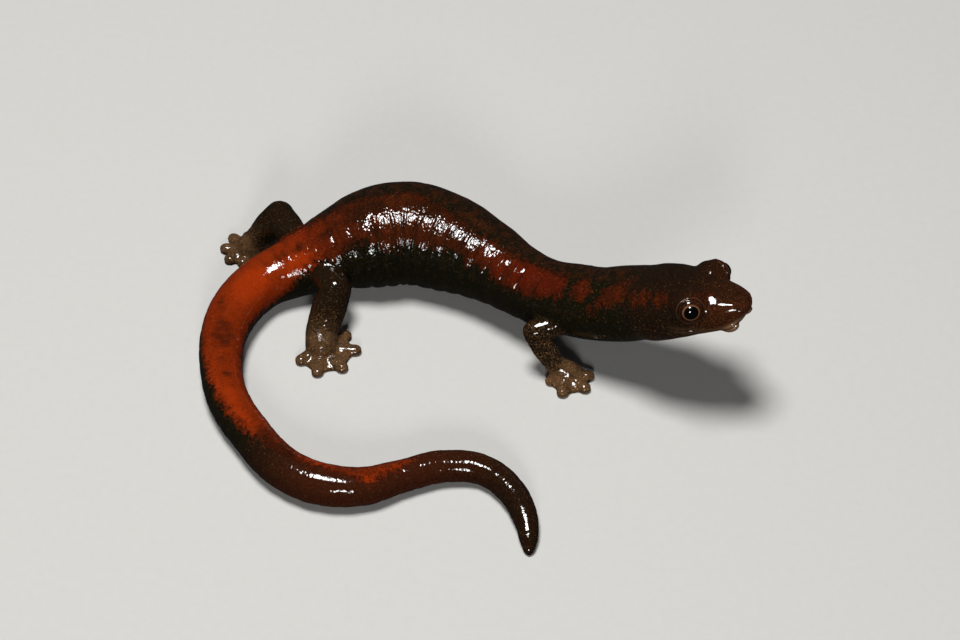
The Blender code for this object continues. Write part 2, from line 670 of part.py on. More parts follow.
def build_limb(limb):
    """Upper length, lower length and the foot with its webbed digits, parted at the joints."""
    upper_name, lower_name, foot_name = LIMB_PARTS[limb]
    table = np.array(LIMBS[limb])
    root, joint, wrist, sole = table[:, :3]
    radii = table[:, 3]
    down_upper = (joint - root) / np.linalg.norm(joint - root)
    down_lower = (wrist - joint) / np.linalg.norm(wrist - joint)
    across = (down_upper + down_lower) / np.linalg.norm(down_upper + down_lower)
    half = GAP / 2
    upper = bone(upper_name, root, joint, radii[0], radii[1])
    kept_behind(upper, joint - half * across, across)
    upper = cut(upper, [body_cutter(limb)])
    finish(upper, "limb")
    lower = bone(lower_name, joint, wrist, radii[1], radii[2])
    kept_behind(lower, joint + half * across, -across)
    kept_behind(lower, wrist - half * down_lower, down_lower)
    lower = cut(lower, [body_cutter(limb)])
    finish(lower, "limb")
    ankle = bone(foot_name, wrist, sole, radii[2], radii[3])
    base = np.array([sole[0], sole[1], DIGIT_HEIGHT])
    palm = np.array([sole[0], sole[1], SOLE_HEIGHT])
    pieces = [ankle, ball("sole", palm, SOLE_RADII, None, 14, 8), web(base, DIGITS[limb])]
    pieces += [digit(base, angle, length) for angle, length in DIGITS[limb]]
    foot = join(foot_name, pieces)
    beside_lower = bone("lower_copy", joint, wrist, radii[1] + GAP, radii[2] + GAP)
    kept_behind(beside_lower, wrist + half * down_lower, down_lower)
    foot = cut(foot, [under_floor(), beside_lower])
    finish(foot, "foot")


def main():
    for old in list(bpy.data.objects):
        bpy.data.objects.remove(old)
    build_head()
    build_body()
    for limb in LIMBS:
        build_limb(limb)


main()
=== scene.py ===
"""La Palma salamander (Bolitoglossa subpalmata): its wet, mottled skin and its eyes.

Sizes are in millimetres, as in the solids: the head points to +X, the right side faces -Y and the
floor is at z = 0. A place on the body is its distance along the spine from the tip of the snout and
its angle round the spine: 0 on the middle of the back, negative on the right side, 180 on the belly.
"""
import math

import bmesh
import bpy
import numpy as np
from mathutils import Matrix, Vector


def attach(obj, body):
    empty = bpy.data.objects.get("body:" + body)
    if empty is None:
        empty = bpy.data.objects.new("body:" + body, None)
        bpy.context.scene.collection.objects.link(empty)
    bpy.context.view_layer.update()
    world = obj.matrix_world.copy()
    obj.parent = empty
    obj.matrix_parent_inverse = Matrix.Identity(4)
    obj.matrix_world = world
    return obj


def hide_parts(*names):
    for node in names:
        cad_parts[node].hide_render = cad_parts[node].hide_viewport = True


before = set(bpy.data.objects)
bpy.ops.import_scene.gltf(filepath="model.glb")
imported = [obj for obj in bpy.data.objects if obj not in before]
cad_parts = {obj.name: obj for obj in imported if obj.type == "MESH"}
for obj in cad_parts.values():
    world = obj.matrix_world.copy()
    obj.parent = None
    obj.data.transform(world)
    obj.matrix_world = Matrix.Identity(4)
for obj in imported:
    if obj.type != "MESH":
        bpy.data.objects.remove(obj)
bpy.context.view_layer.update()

MM = 0.001
PLACE = np.array([0.75, 8.69, 0.0])   # brings the middle of the whole animal over the origin

# Head: a straight axis from the tip of the snout back to the nape
SNOUT_TIP = np.array([25.55, -10.68, 14.08])
HEAD_YAW = math.radians(27.0)
HEAD_PITCH = math.radians(25.5)
HEAD_ROLL = math.radians(7.0)
HEAD_LENGTH = 11.7

# Head: distance behind the snout, half width, height above and depth below the axis
HEAD = [
    (0.00, 0.20, 0.18, 0.18), (0.12, 0.62, 0.40, 0.45), (0.50, 1.20, 0.70, 0.86),
    (1.00, 1.62, 0.98, 1.36), (1.60, 2.05, 1.28, 1.82), (2.80, 2.62, 1.85, 2.18),
    (4.80, 3.38, 2.72, 2.42), (7.30, 4.04, 3.25, 2.76), (9.30, 4.30, 3.40, 3.00),
    (HEAD_LENGTH, 3.95, 3.32, 3.18),
]
NECK_FRONT = (3.95, 3.20)
MOUTH = [(1.00, -1.25), (1.45, -1.45), (2.20, -1.58), (3.30, -1.48), (4.40, -1.12), (5.60, -0.75),
         (6.60, -0.48), (7.40, -0.32)]

# Trunk and root of the tail: x, y and height of the middle, half width, half height
BODY = {
    "nape": (14.2, -5.15, 8.15, 3.80, 3.40),
    "neck": (11.7, -4.25, 7.05, 3.62, 3.40),
    "shoulders": (9.4, -3.1, 6.3, 3.55, 3.40),
    "armpits": (6.8, -1.75, 5.7, 3.38, 3.30),
    "chest": (3.8, 0.65, 5.2, 3.42, 3.40),
    "ribs": (0.6, 3.62, 4.8, 4.05, 3.98),
    "belly_front": (-3.2, 6.1, 4.7, 4.80, 4.75),
    "belly": (-7.4, 7.5, 4.7, 5.10, 5.00),
    "belly_rear": (-11.0, 6.9, 4.5, 5.00, 4.80),
    "loin": (-14.2, 6.1, 3.8, 4.15, 4.00),
    "hips": (-16.9, 5.2, 3.2, 3.40, 3.30),
    "vent": (-19.3, 4.3, 2.7, 2.90, 2.85),
    "tail_root": (-21.6, 3.0, 2.4, 2.62, 2.55),
}
# The rest of the tail, alike, to its tip
TAIL = [
    (-23.7, 0.5, 2.3, 2.52, 2.45), (-25.2, -3.3, 2.1, 2.32, 2.25), (-25.4, -7.6, 1.9, 2.10, 2.05),
    (-24.4, -12.2, 1.85, 2.03, 1.98), (-22.0, -16.5, 1.8, 1.98, 1.93), (-18.9, -20.5, 1.85, 2.02, 1.97),
    (-15.2, -22.6, 1.85, 2.00, 1.95), (-11.2, -22.8, 1.7, 1.82, 1.78), (-7.6, -21.4, 1.45, 1.59, 1.55),
    (-3.6, -20.1, 1.4, 1.54, 1.50), (0.2, -20.4, 1.3, 1.45, 1.41), (3.0, -23.0, 1.2, 1.36, 1.32),
    (4.4, -26.6, 0.95, 1.12, 1.08), (4.6, -28.9, 0.55, 0.72, 0.70), (4.6, -29.7, 0.32, 0.35, 0.34),
    (4.6, -29.9, 0.20, 0.10, 0.10),
]
TURN_LENGTH = 1.2               # a section faces the way that the spine runs over this length
SQUARENESS = 2.2
HEAD_SQUARENESS = 2.3
GROOVES = 13                    # costal grooves, one for each rib

# Eyes
EYE_PLACE = (4.70, 2.92, 1.46)  # behind the snout, outward and above its axis
EYE_RADIUS = 1.22
EYE_SIDES = 96
LID_RADIUS = 1.52
EYE_OUT = math.radians(52.0)
EYE_UP = math.radians(2.0)
BROW_SUNK = 0.75
BROW_RADII = (1.45, 1.92, 1.70)
LIDS_WIDE = math.radians(37.8)  # half the opening, seen from the eye's middle
LIDS_HIGH = math.radians(36.6)
CORNEA_WIDE = math.radians(43.0)
CORNEA_RISE = 0.18

# Height of the lids over the eyeball, by distance from the gaze as a share of the opening
LID_PROFILE = [(0.0, -0.20), (0.90, -0.16), (0.97, 0.0), (1.02, 0.055), (1.08, 0.065), (1.15, 0.05),
               (1.28, 0.09), (1.44, 0.13), (1.60, 0.165), (1.80, 0.195), (2.1, 0.215), (2.6, 0.22)]
LID_BLEND = (1.40, 2.60)
OUTER_FOLD = 1.72               # the fold round the lids, as a share of the opening
OUTER_FOLD_DEPTH = 0.08
UPPER_LID_HEIGHT = 0.05

# Nose and mouth. Places are distances behind the snout, outward and above its axis
NOSTRIL_PLACE = (0.62, 1.14, 0.10)
NOSTRIL_RADIUS = 0.12
NOSTRIL_DEPTH = 0.22
NASAL_SWELLING = (2.05, 1.45, -1.52)
NASAL_SWELLING_RADII = (1.05, 0.62, 0.62)
NASAL_GROOVE_END = (1.60, 1.75, -1.42)
JAW_FOLD = ((7.2, 3.9, 0.55), (11.0, 4.2, 0.10))
THROAT_FOLD_AT = 12.1
# The corner of the snout over the lip and the hollow before the eye: place, half width and height
SOFT_FORMS = [((1.05, 1.30, 0.25), 0.85, 0.13), ((2.7, 2.0, 1.1), 0.6, -0.05)]
# The mouth's line, the upper lip and the lower lip: height over the line, half width and height
LIP_FORMS = [(0.0, 0.07, -0.10), (0.26, 0.19, 0.04), (-0.28, 0.20, 0.03)]

# Limbs: x, y, height and radius of the root in the body, the elbow or knee, the wrist and the sole
LIMBS = {
    "arm_right": [
        (10.6, -4.4, 5.9, 1.20), (5.3, -6.0, 5.0, 1.15), (7.4, -7.15, 1.35, 1.02), (8.6, -7.4, 0.70, 1.15)],
    "arm_left": [
        (9.2, -1.4, 5.2, 1.20), (8.0, 3.1, 2.9, 1.15), (9.5, 4.2, 1.35, 1.02), (10.7, 4.6, 0.70, 1.15)],
    "leg_right": [
        (-16.3, 4.6, 3.4, 1.65), (-14.3, 0.4, 4.1, 1.62), (-15.75, -2.9, 1.45, 1.6), (-15.7, -4.1, 0.8, 1.6)],
    "leg_left": [
        (-18.0, 6.4, 3.4, 1.50), (-20.3, 10.7, 4.0, 1.50), (-22.7, 9.7, 1.40, 1.35), (-23.5, 9.3, 0.8, 1.3)],
}
MUSCLE = (0.10, 0.12, 0.0)      # swelling in the middle of the upper length, the lower one and the wrist

# Digits: direction from the middle of the sole in degrees and length, one pair for each
DIGITS = {
    "arm_right": [(-8, 2.7), (-48, 3.1), (-102, 3.1), (-152, 2.5)],
    "arm_left": [(75, 2.5), (38, 3), (2, 3), (-38, 2.5)],
    "leg_right": [(36, 3.5), (-4, 4), (-50, 3.9), (-96, 3.7), (-142, 3.1)],
    "leg_left": [(96, 2.5), (136, 2.9), (176, 3), (214, 2.9), (252, 2.4)],
}
# Share of the length and half width: the digit's joints and the pad of its tip
DIGIT_PROFILE = [(-0.25, 0.66), (0.0, 0.72), (0.25, 0.72), (0.42, 0.67), (0.58, 0.68), (0.72, 0.63),
                 (0.86, 0.63)]
DIGIT_TIP = 0.62
DIGIT_FLATNESS = 0.76
DIGIT_HEIGHT = 0.35
WEB_REACH = 0.86
WEB_HOLLOW = 0.12
WEB_HEIGHTS = [(0.02, 1.00), (0.45, 0.80), (0.8, 0.60), (1.0, 0.42)]  # share of the reach and height
SOLE_RADII = (1.60, 1.45, 0.95)
SOLE_HEIGHT = 0.45

# Folds of the trunk and the tail
FOLD_HEIGHT = 0.15              # how far the skin swells between two costal grooves
GROOVE_DEPTH = 0.08
WRINKLE_DEPTH = 0.05
TAIL_RING_SPACING = 1.75
TAIL_RING_DEPTH = 0.035
LUMPS = [(1.5, 2.2, 0.035), (0.6, 4.4, 0.018)]    # the skin's uneven lumps: size, shift and height

# Fineness of the skin
RING_STEP = 0.3
RING_SIDES = 72
AXIS_STEP = 0.1
SKIN_CELL = 0.13
FINE_HEAD = 8.6                 # the face is finer as far back as this
FINE_EYE = 1.95                 # and once more this far round an eye
RESTING = 0.05                  # what lies lower than this is pressed flat on the floor
SMOOTHING = [0.5, -0.53]        # a step in and a step out, which smooths the skin without shrinking it
JOIN_ROUNDS = 24                # rounds of smoothing where parts of the body join

FLESH = "head neck torso_front torso_middle hips tail_base tail_bend_front tail_bend_rear tail_end tail_tip"
FLESH = FLESH.split()
FLESH += [part + side for side in ("_right", "_left")
          for part in ("upper_arm", "forearm", "hand", "thigh", "shank", "foot")]

# Camera at the photo's viewing angle, lights and floor
CAMERA_ELEVATION = math.radians(48.0)
CAMERA_DISTANCE = 330.0
CAMERA_LENS = 123.75
SENSOR = 36.0
LIGHT_DISTANCE = 420.0
LIT_PLACE = np.array([-2.0, 0.0, 4.0])
FLOOR_REACH = 2000.0
FLOOR_HEIGHT = -0.01            # just under the solids, so that the two don't share a plane


def smooth(knots, values, at):
    """A smooth curve through the values at the knots, read at one place or many."""
    knots = np.asarray(knots, float)
    values = np.asarray(values, float)
    slopes = np.gradient(values, knots, axis=0)
    at = np.clip(at, knots[0], knots[-1])
    i = np.clip(np.searchsorted(knots, at, side="right") - 1, 0, len(knots) - 2)
    width = knots[i + 1] - knots[i]
    t = (at - knots[i]) / width
    if np.ndim(values) > 1 and np.ndim(at) > 0:
        t = t[:, None]
        width = width[:, None]
    start = (1 + 2 * t) * (1 - t) ** 2 * values[i] + t * (1 - t) ** 2 * width * slopes[i]
    end = t ** 2 * (3 - 2 * t) * values[i + 1] + t ** 2 * (t - 1) * width * slopes[i + 1]
    return start + end


def table_at(table, at):
    """The value of a two-column table at a place, straight between its rows."""
    rows = np.array(table, float)
    return np.interp(at, rows[:, 0], rows[:, 1])


def ease(value, start, end):
    """0 before start, 1 after end and smooth between them."""
    share = np.clip((value - start) / (end - start), 0.0, 1.0)
    return share * share * (3.0 - 2.0 * share)


def bell(value, width):
    """1 at zero, falling off over a width to each side."""
    return np.exp(-(value / width) ** 2)


def unit(vector):
    return vector / np.linalg.norm(vector)


def away_from(points, place):
    """How far each point is from a place."""
    return np.linalg.norm(points - place, axis=1)


HEAD_FORWARD = np.array([math.cos(HEAD_PITCH) * math.cos(HEAD_YAW),
                         -math.cos(HEAD_PITCH) * math.sin(HEAD_YAW), math.sin(HEAD_PITCH)])
LEVEL_LEFT = np.array([math.sin(HEAD_YAW), math.cos(HEAD_YAW), 0.0])
HEAD_LEFT = (math.cos(HEAD_ROLL) * LEVEL_LEFT
             - math.sin(HEAD_ROLL) * np.cross(HEAD_FORWARD, LEVEL_LEFT))
HEAD_UP = np.cross(HEAD_FORWARD, HEAD_LEFT)


def head_point(behind, side=0.0, above=0.0):
    """A place in the head from its distance behind the snout, to the left and above the axis."""
    return SNOUT_TIP - behind * HEAD_FORWARD + side * HEAD_LEFT + above * HEAD_UP


def on_side(hand, place):
    """A place in the head on one side: hand is 1 on the left and -1 on the right."""
    behind, outward, above = place
    return head_point(behind, hand * outward, above)


def head_size(behind):
    """Half width, height above and depth below the axis at a distance behind the snout."""
    table = np.array(HEAD)
    return smooth(table[:, 0], table[:, 1:], behind)


SPINE = np.vstack([np.append(head_point(HEAD_LENGTH), NECK_FRONT), *BODY.values(), *TAIL])
SPINE_AT = HEAD_LENGTH + np.append(0.0, np.cumsum(away_from(SPINE[1:, :3], SPINE[:-1, :3])))
STATION_AT = dict(zip(BODY, SPINE_AT[1:]))
FIRST_GROOVE = STATION_AT["armpits"]
GROOVE_SPACING = (STATION_AT["loin"] - FIRST_GROOVE) / GROOVES


def section(at):
    """Middle, forward, left and up, then half width, height above and depth below, at a distance."""
    if at < HEAD_LENGTH:
        return head_point(at), HEAD_FORWARD, HEAD_LEFT, HEAD_UP, head_size(at)
    here = smooth(SPINE_AT, SPINE, at)
    ahead = smooth(SPINE_AT, SPINE[:, :3], at - TURN_LENGTH)
    behind = smooth(SPINE_AT, SPINE[:, :3], at + TURN_LENGTH)
    share = np.clip((at - HEAD_LENGTH) / (2.0 * TURN_LENGTH), 0.0, 1.0)
    forward = unit((1.0 - share) * HEAD_FORWARD + share * unit(ahead - behind))
    left = unit(np.cross([0.0, 0.0, 1.0], forward))
    return here[:3], forward, left, np.cross(forward, left), np.array([here[3], here[4], here[4]])


def angles_round(sides):
    return np.arange(sides) * 2.0 * math.pi / sides


def superellipse(angles, half_width, above, below, power):
    """Sideways and upward offsets of a section whose top and bottom may differ in height."""
    cos = np.cos(angles)
    sin = np.sin(angles)
    side = half_width * np.sign(cos) * np.abs(cos) ** (2.0 / power)
    return side, np.where(sin > 0, above, below) * np.sign(sin) * np.abs(sin) ** (2.0 / power)


def tube(rings):
    """A closed shell through rings of equal count, as points and faces."""
    sides = len(rings[0])
    last = (len(rings) - 1) * sides
    points = np.vstack([*rings, rings[0].mean(axis=0), rings[-1].mean(axis=0)])
    faces = []
    for j in range(sides):
        k = (j + 1) % sides
        faces += [(a + j, a + k, a + sides + k, a + sides + j) for a in range(0, last, sides)]
        faces.append((k, j, last + sides))
        faces.append((last + j, last + k, last + sides + 1))
    return points, faces


def on_floor(points):
    """The points with what would sink under the floor laid flat on it."""
    return np.column_stack([points[:, :2], np.maximum(points[:, 2], 0.0)])


def body_shell():
    """The head, trunk and tail as one shell."""
    angles = angles_round(RING_SIDES)
    rings = []
    near_snout = [0.0, 0.04, 0.12, 0.22, 0.35, 0.5, 0.68, 0.86]
    count = round((SPINE_AT[-1] - 1.05) / RING_STEP) + 1
    for at in np.append(near_snout, np.linspace(1.05, SPINE_AT[-1], count)):
        middle, forward, left, up, size = section(at)
        power = HEAD_SQUARENESS + (SQUARENESS - HEAD_SQUARENESS) * ease(at, HEAD_LENGTH - 2.0, HEAD_LENGTH)
        side, height = superellipse(angles, *size, power)
        rings.append(on_floor(middle + side[:, None] * left + height[:, None] * up))
    return tube(rings)


def round_section(middle, side, up, half_width, half_height, sides):
    angles = angles_round(sides)
    return (middle + half_width * np.cos(angles)[:, None] * side
            + half_height * np.sin(angles)[:, None] * up)


def egg(middle, radii, axes, around=36, along=17):
    """An ellipsoid shell with its own forward, left and up."""
    forward, left, up = np.array(axes)
    rings = []
    for turn in np.linspace(0.03, math.pi - 0.03, along):
        wide = math.sin(turn)
        rings.append(round_section(middle + radii[0] * math.cos(turn) * forward, left, up,
                                   radii[1] * wide, radii[2] * wide, around))
    return tube(rings)


def bone(start, end, start_radius, end_radius, swelling, sides=28):
    """A limb's length between two joints: a tapered rod with round ends and a muscle's swelling."""
    forward = unit(end - start)
    side = unit(np.cross(forward, [0.0, 0.0, 1.0]))
    up = np.cross(side, forward)
    turns = np.radians([85.0, 65.0, 45.0, 22.0])
    profile = [(start, -start_radius * math.sin(t), start_radius * math.cos(t)) for t in turns]
    for share in np.linspace(0.0, 1.0, 13):
        radius = start_radius + share * (end_radius - start_radius)
        radius += swelling * math.sin(math.pi * share) ** 2
        profile.append((start + share * (end - start), 0.0, radius))
    profile += [(end, end_radius * math.sin(t), end_radius * math.cos(t)) for t in turns[::-1]]
    return tube([round_section(middle + along * forward, side, up, radius, radius, sides)
                 for middle, along, radius in profile])


def digit(base, angle, length):
    """One finger or toe: a flattened rod with joints, a pad at its round tip and a flat underside."""
    direction = np.array([math.cos(math.radians(angle)), math.sin(math.radians(angle)), 0.0])
    side = np.array([-direction[1], direction[0], 0.0])
    up = np.array([0.0, 0.0, 1.0])
    reach = length - DIGIT_TIP
    rows = np.array(DIGIT_PROFILE)
    shares = np.linspace(rows[0, 0], rows[-1, 0], 16)
    profile = [(share * reach / rows[-1, 0], smooth(rows[:, 0], rows[:, 1], share)) for share in shares]
    for turn in np.radians([20.0, 40.0, 60.0, 75.0, 86.0]):
        profile.append((reach + DIGIT_TIP * math.sin(turn), DIGIT_TIP * math.cos(turn)))
    rings = []
    for out, radius in profile:
        rings.append(on_floor(round_section(base + out * direction, side, up, radius,
                                            radius * DIGIT_FLATNESS, 20)))
    return tube(rings)


def web(base, digits):
    """The skin between the digits: a fan that thins outward and draws in between each pair."""
    outline = []
    for (angle, length), (next_angle, next_length) in zip(digits, digits[1:]):
        for share in np.linspace(0.0, 1.0, 9)[:-1]:
            reach = (length + share * (next_length - length)) * WEB_REACH
            reach *= 1.0 - WEB_HOLLOW * math.sin(math.pi * share)
            outline.append((angle + share * (next_angle - angle), reach))
    outline.append((digits[-1][0], digits[-1][1] * WEB_REACH))
    rings = []
    for angle, reach in outline:
        turn = math.radians(angle)
        top = [(base[0] + reach * share * math.cos(turn), base[1] + reach * share * math.sin(turn), height)
               for share, height in WEB_HEIGHTS]
        rings.append(np.array(top + [(x, y, 0.0) for x, y, height in top[::-1]]))
    return tube(rings)


def eye_axes(hand):
    """Where an eye sits and its gaze, left and up."""
    gaze = (math.cos(EYE_OUT) * math.cos(EYE_UP) * HEAD_FORWARD
            + hand * math.sin(EYE_OUT) * math.cos(EYE_UP) * HEAD_LEFT + math.sin(EYE_UP) * HEAD_UP)
    left = unit(np.cross(HEAD_UP, gaze))
    return on_side(hand, EYE_PLACE), (gaze, left, np.cross(gaze, left))


def head_shells():
    """The lids, the mounds round the eyes and the nasal swellings."""
    shells = []
    for hand in (-1, 1):
        middle, axes = eye_axes(hand)
        shells.append(egg(middle, (LID_RADIUS,) * 3, axes))
        shells.append(egg(middle - BROW_SUNK * axes[0], BROW_RADII, axes))
        shells.append(egg(on_side(hand, NASAL_SWELLING), NASAL_SWELLING_RADII,
                          (HEAD_FORWARD, HEAD_LEFT, HEAD_UP)))
    return shells


def limb_shells(limb):
    """One limb: its two lengths, the wrist or ankle, the palm, the digits and the web."""
    joints = np.array(LIMBS[limb])
    shells = []
    for i, swelling in enumerate(MUSCLE):
        shells.append(bone(joints[i, :3], joints[i + 1, :3], joints[i, 3], joints[i + 1, 3], swelling))
    sole = joints[-1]
    palm, faces = egg(np.array([sole[0], sole[1], SOLE_HEIGHT]), SOLE_RADII, np.eye(3))
    shells.append((on_floor(palm), faces))
    base = np.array([sole[0], sole[1], DIGIT_HEIGHT])
    shells += [digit(base, angle, length) for angle, length in DIGITS[limb]]
    shells.append(web(base, DIGITS[limb]))
    return shells


def mesh_of(name, points, faces):
    mesh = bpy.data.meshes.new(name)
    mesh.from_pydata(points.tolist(), [], faces)
    return mesh


def placed(name, data):
    """A new object in the scene."""
    made = bpy.data.objects.new(name, data)
    bpy.context.scene.collection.objects.link(made)
    return made


def turn_faces_out(mesh):
    builder = bmesh.new()
    builder.from_mesh(mesh)
    bmesh.ops.recalc_face_normals(builder, faces=builder.faces)
    builder.to_mesh(mesh)
    builder.free()


def remeshed(shells):
    """One closed skin of even cells round all the shells."""
    points = []
    faces = []
    count = 0
    for shell_points, shell_faces in shells:
        points.append(shell_points)
        faces += [tuple(i + count for i in face) for face in shell_faces]
        count += len(shell_points)
    mesh = mesh_of("skin_mould", np.vstack(points), faces)
    turn_faces_out(mesh)
    mould = placed("skin_mould", mesh)
    modifier = mould.modifiers.new("even_cells", "REMESH")
    modifier.mode = "VOXEL"
    modifier.voxel_size = SKIN_CELL
    graph = bpy.context.evaluated_depsgraph_get()
    made = bpy.data.meshes.new_from_object(mould.evaluated_get(graph))
    bpy.data.objects.remove(mould)
    bpy.data.meshes.remove(mesh)
    return made


def read(items, name, width, kind=np.float32):
    """One value of all the items of a mesh, a row for each."""
    rows = np.zeros(len(items) * width, kind)
    items.foreach_get(name, rows)
    return rows.reshape(-1, width)


def points_of(mesh):
    return read(mesh.vertices, "co", 3).astype(float)


def move_points(mesh, points):
    mesh.vertices.foreach_set("co", points.astype(np.float32).ravel())
    mesh.update()


def normals_of(mesh):
    return read(mesh.vertex_normals, "vector", 3).astype(float)


def edges_of(mesh):
    return read(mesh.edges, "vertices", 2, np.int32).T


def relaxed(points, ends, amounts):
    """Each point drawn towards the mean of its neighbours, once for each amount."""
    a, b = ends
    count = len(points)
    share = 1.0 / np.maximum(np.bincount(a, minlength=count) + np.bincount(b, minlength=count), 1)
    for amount in amounts:
        mean = np.column_stack([np.bincount(a, points[b, i], count) + np.bincount(b, points[a, i], count)
                                for i in range(3)]) * share[:, None]
        points = points + np.asarray(amount).reshape(-1, 1) * (mean - points)
    return points


def split_faces(mesh, chosen):
    """Splits the edges of the chosen vertices, so that the skin is twice as fine there."""
    builder = bmesh.new()
    builder.from_mesh(mesh)
    builder.verts.ensure_lookup_table()
    edges = [e for e in builder.edges if chosen[e.verts[0].index] and chosen[e.verts[1].index]]
    bmesh.ops.subdivide_edges(builder, edges=edges, cuts=1, use_grid_fill=True)
    builder.to_mesh(mesh)
    builder.free()


RANDOM_GRID = np.random.default_rng(11).uniform(-1.0, 1.0, (24, 24, 24))


def rough(places, size, shift=0.0):
    """Smooth noise from about -1 to 1 with lumps of a size, which may differ by direction."""
    grid = places / np.asarray(size) + shift
    low = np.floor(grid).astype(int)
    share = grid - low
    share = share * share * (3.0 - 2.0 * share)
    total = np.zeros(len(places))
    for corner in range(8):
        step = np.array([corner & 1, corner >> 1 & 1, corner >> 2 & 1])
        weight = np.prod(np.where(step, share, 1.0 - share), axis=1)
        i, j, k = ((low + step) % len(RANDOM_GRID)).T
        total += weight * RANDOM_GRID[i, j, k]
    return total


class Lie:
    """Where each point of the skin lies on the body, the head, the limbs and the feet."""

    def __init__(self, points):
        rows = [section(at) for at in np.arange(0.0, SPINE_AT[-1], AXIS_STEP)]
        middle, forward, left, up, size = [np.array(column) for column in zip(*rows)]
        nearest = []
        lengths = (middle ** 2).sum(axis=1)
        for part in np.array_split(points, max(1, len(points) // 20000)):
            nearest.append(np.argmin(lengths - 2.0 * part @ middle.T, axis=1))
        nearest = np.concatenate(nearest)
        off = points - middle[nearest]
        size = size[nearest]
        self.along = nearest * AXIS_STEP - np.clip((off * forward[nearest]).sum(axis=1), -1.0, AXIS_STEP)
        side = (off * left[nearest]).sum(axis=1) / size[:, 0]
        height = (off * up[nearest]).sum(axis=1)
        height = height / np.where(height > 0, size[:, 1], size[:, 2])
        self.turn = np.degrees(np.arctan2(side, height))
        self.radius = size.mean(axis=1)
        self.out = (np.hypot(side, height) - 1.0) * self.radius
        arc = np.radians(self.turn) * self.radius
        self.flat = np.column_stack([self.along, arc, np.zeros(len(points))])
        from_snout = points - SNOUT_TIP
        self.behind = -from_snout @ HEAD_FORWARD
        self.above = from_snout @ HEAD_UP
        self.limb_out = np.full(len(points), 99.0)
        self.down_limb = np.zeros(len(points))
        self.foot = np.zeros(len(points))
        for limb, table in LIMBS.items():
            joints = np.array(table)
            for i in range(3):
                share, distance = beside(points, joints[i, :3], joints[i + 1, :3])
                distance = distance - (joints[i, 3] + share * (joints[i + 1, 3] - joints[i, 3]))
                nearer = distance < self.limb_out
                self.limb_out = np.where(nearer, distance, self.limb_out)
                self.down_limb = np.where(nearer, i + share, self.down_limb)
            reach = np.linalg.norm(points[:, :2] - joints[3, :2], axis=1)
            longest = max(digit_size[1] for digit_size in DIGITS[limb])
            on_foot = (reach < longest + 0.6) & (points[:, 2] < 1.6)
            self.foot = np.maximum(self.foot, on_foot * (1.0 - ease(points[:, 2], 0.9, 2.0)))
            clear = on_foot & (self.out > 0.5)
            self.limb_out = np.where(clear, np.minimum(self.limb_out, 0.0), self.limb_out)
            self.down_limb = np.where(clear, 3.0, self.down_limb)
        self.limb = ease(self.out - self.limb_out, -0.15, 0.55)


def beside(points, start, end):
    """The share along a straight line and the distance from it, for each point."""
    line = end - start
    share = np.clip((points - start) @ line / (line @ line), 0.0, 1.0)
    return share, away_from(points - share[:, None] * line, start)


def from_middle(phase):
    """How far a place in a row of repeats is from the middle of its repeat, from -0.5 to 0.5."""
    return phase - np.floor(phase) - 0.5


def trunk_folds(lie):
    """Costal folds and grooves round the trunk, fine upright wrinkles and the rings of the tail."""
    wave = 0.22 * rough(lie.flat, (2.6, 3.4, 1.0), 3.3)
    phase = (lie.along + wave - FIRST_GROOVE) / GROOVE_SPACING
    off = from_middle(phase)
    turn = np.abs(lie.turn)
    flank = np.where(lie.turn < 0, ease(turn, 2.0, 40.0), 0.6 * ease(turn, 55.0, 95.0))
    flank *= 1.0 - 0.6 * ease(turn, 120.0, 165.0)
    trunk = ease(phase, -1.2, 0.2) * (1.0 - ease(phase, GROOVES - 0.4, GROOVES + 1.2))
    groove = bell(np.abs(off) - 0.5, 0.075)
    depth = 0.85 + 0.35 * rough(lie.flat, (4.0, 5.0, 1.0), 8.8)
    moved = -flank * trunk * depth * (FOLD_HEIGHT * (2.0 * off) ** 2 + GROOVE_DEPTH * groove)
    wrinkles = 0.6 * rough(lie.flat, (0.42, 2.6, 1.0), 7.1) + 0.4 * rough(lie.flat, (0.27, 1.5, 1.0), 1.7)
    creased = ease(lie.along, 13.5, 19.0) * (1.0 - ease(lie.along, 50.0, 54.0)) * (0.35 + 0.65 * flank)
    moved -= WRINKLE_DEPTH * creased * np.abs(wrinkles)
    tail = ease(lie.along, 52.0, 58.0) * (1.0 - ease(lie.along, 108.0, 112.0))
    ring_off = from_middle((lie.along + 0.15 * rough(lie.flat, (3.0, 2.0, 1.0), 5.5)) / TAIL_RING_SPACING)
    moved -= TAIL_RING_DEPTH * tail * bell(np.abs(ring_off) - 0.5, 0.11) * ease(turn, 30.0, 80.0)
    # The second value marks the costal grooves and the deeper wrinkles for painted shade
    return moved, groove * flank * trunk + 0.5 * creased * np.clip(np.abs(wrinkles) * 1.6 - 0.35, 0.0, 1.0)


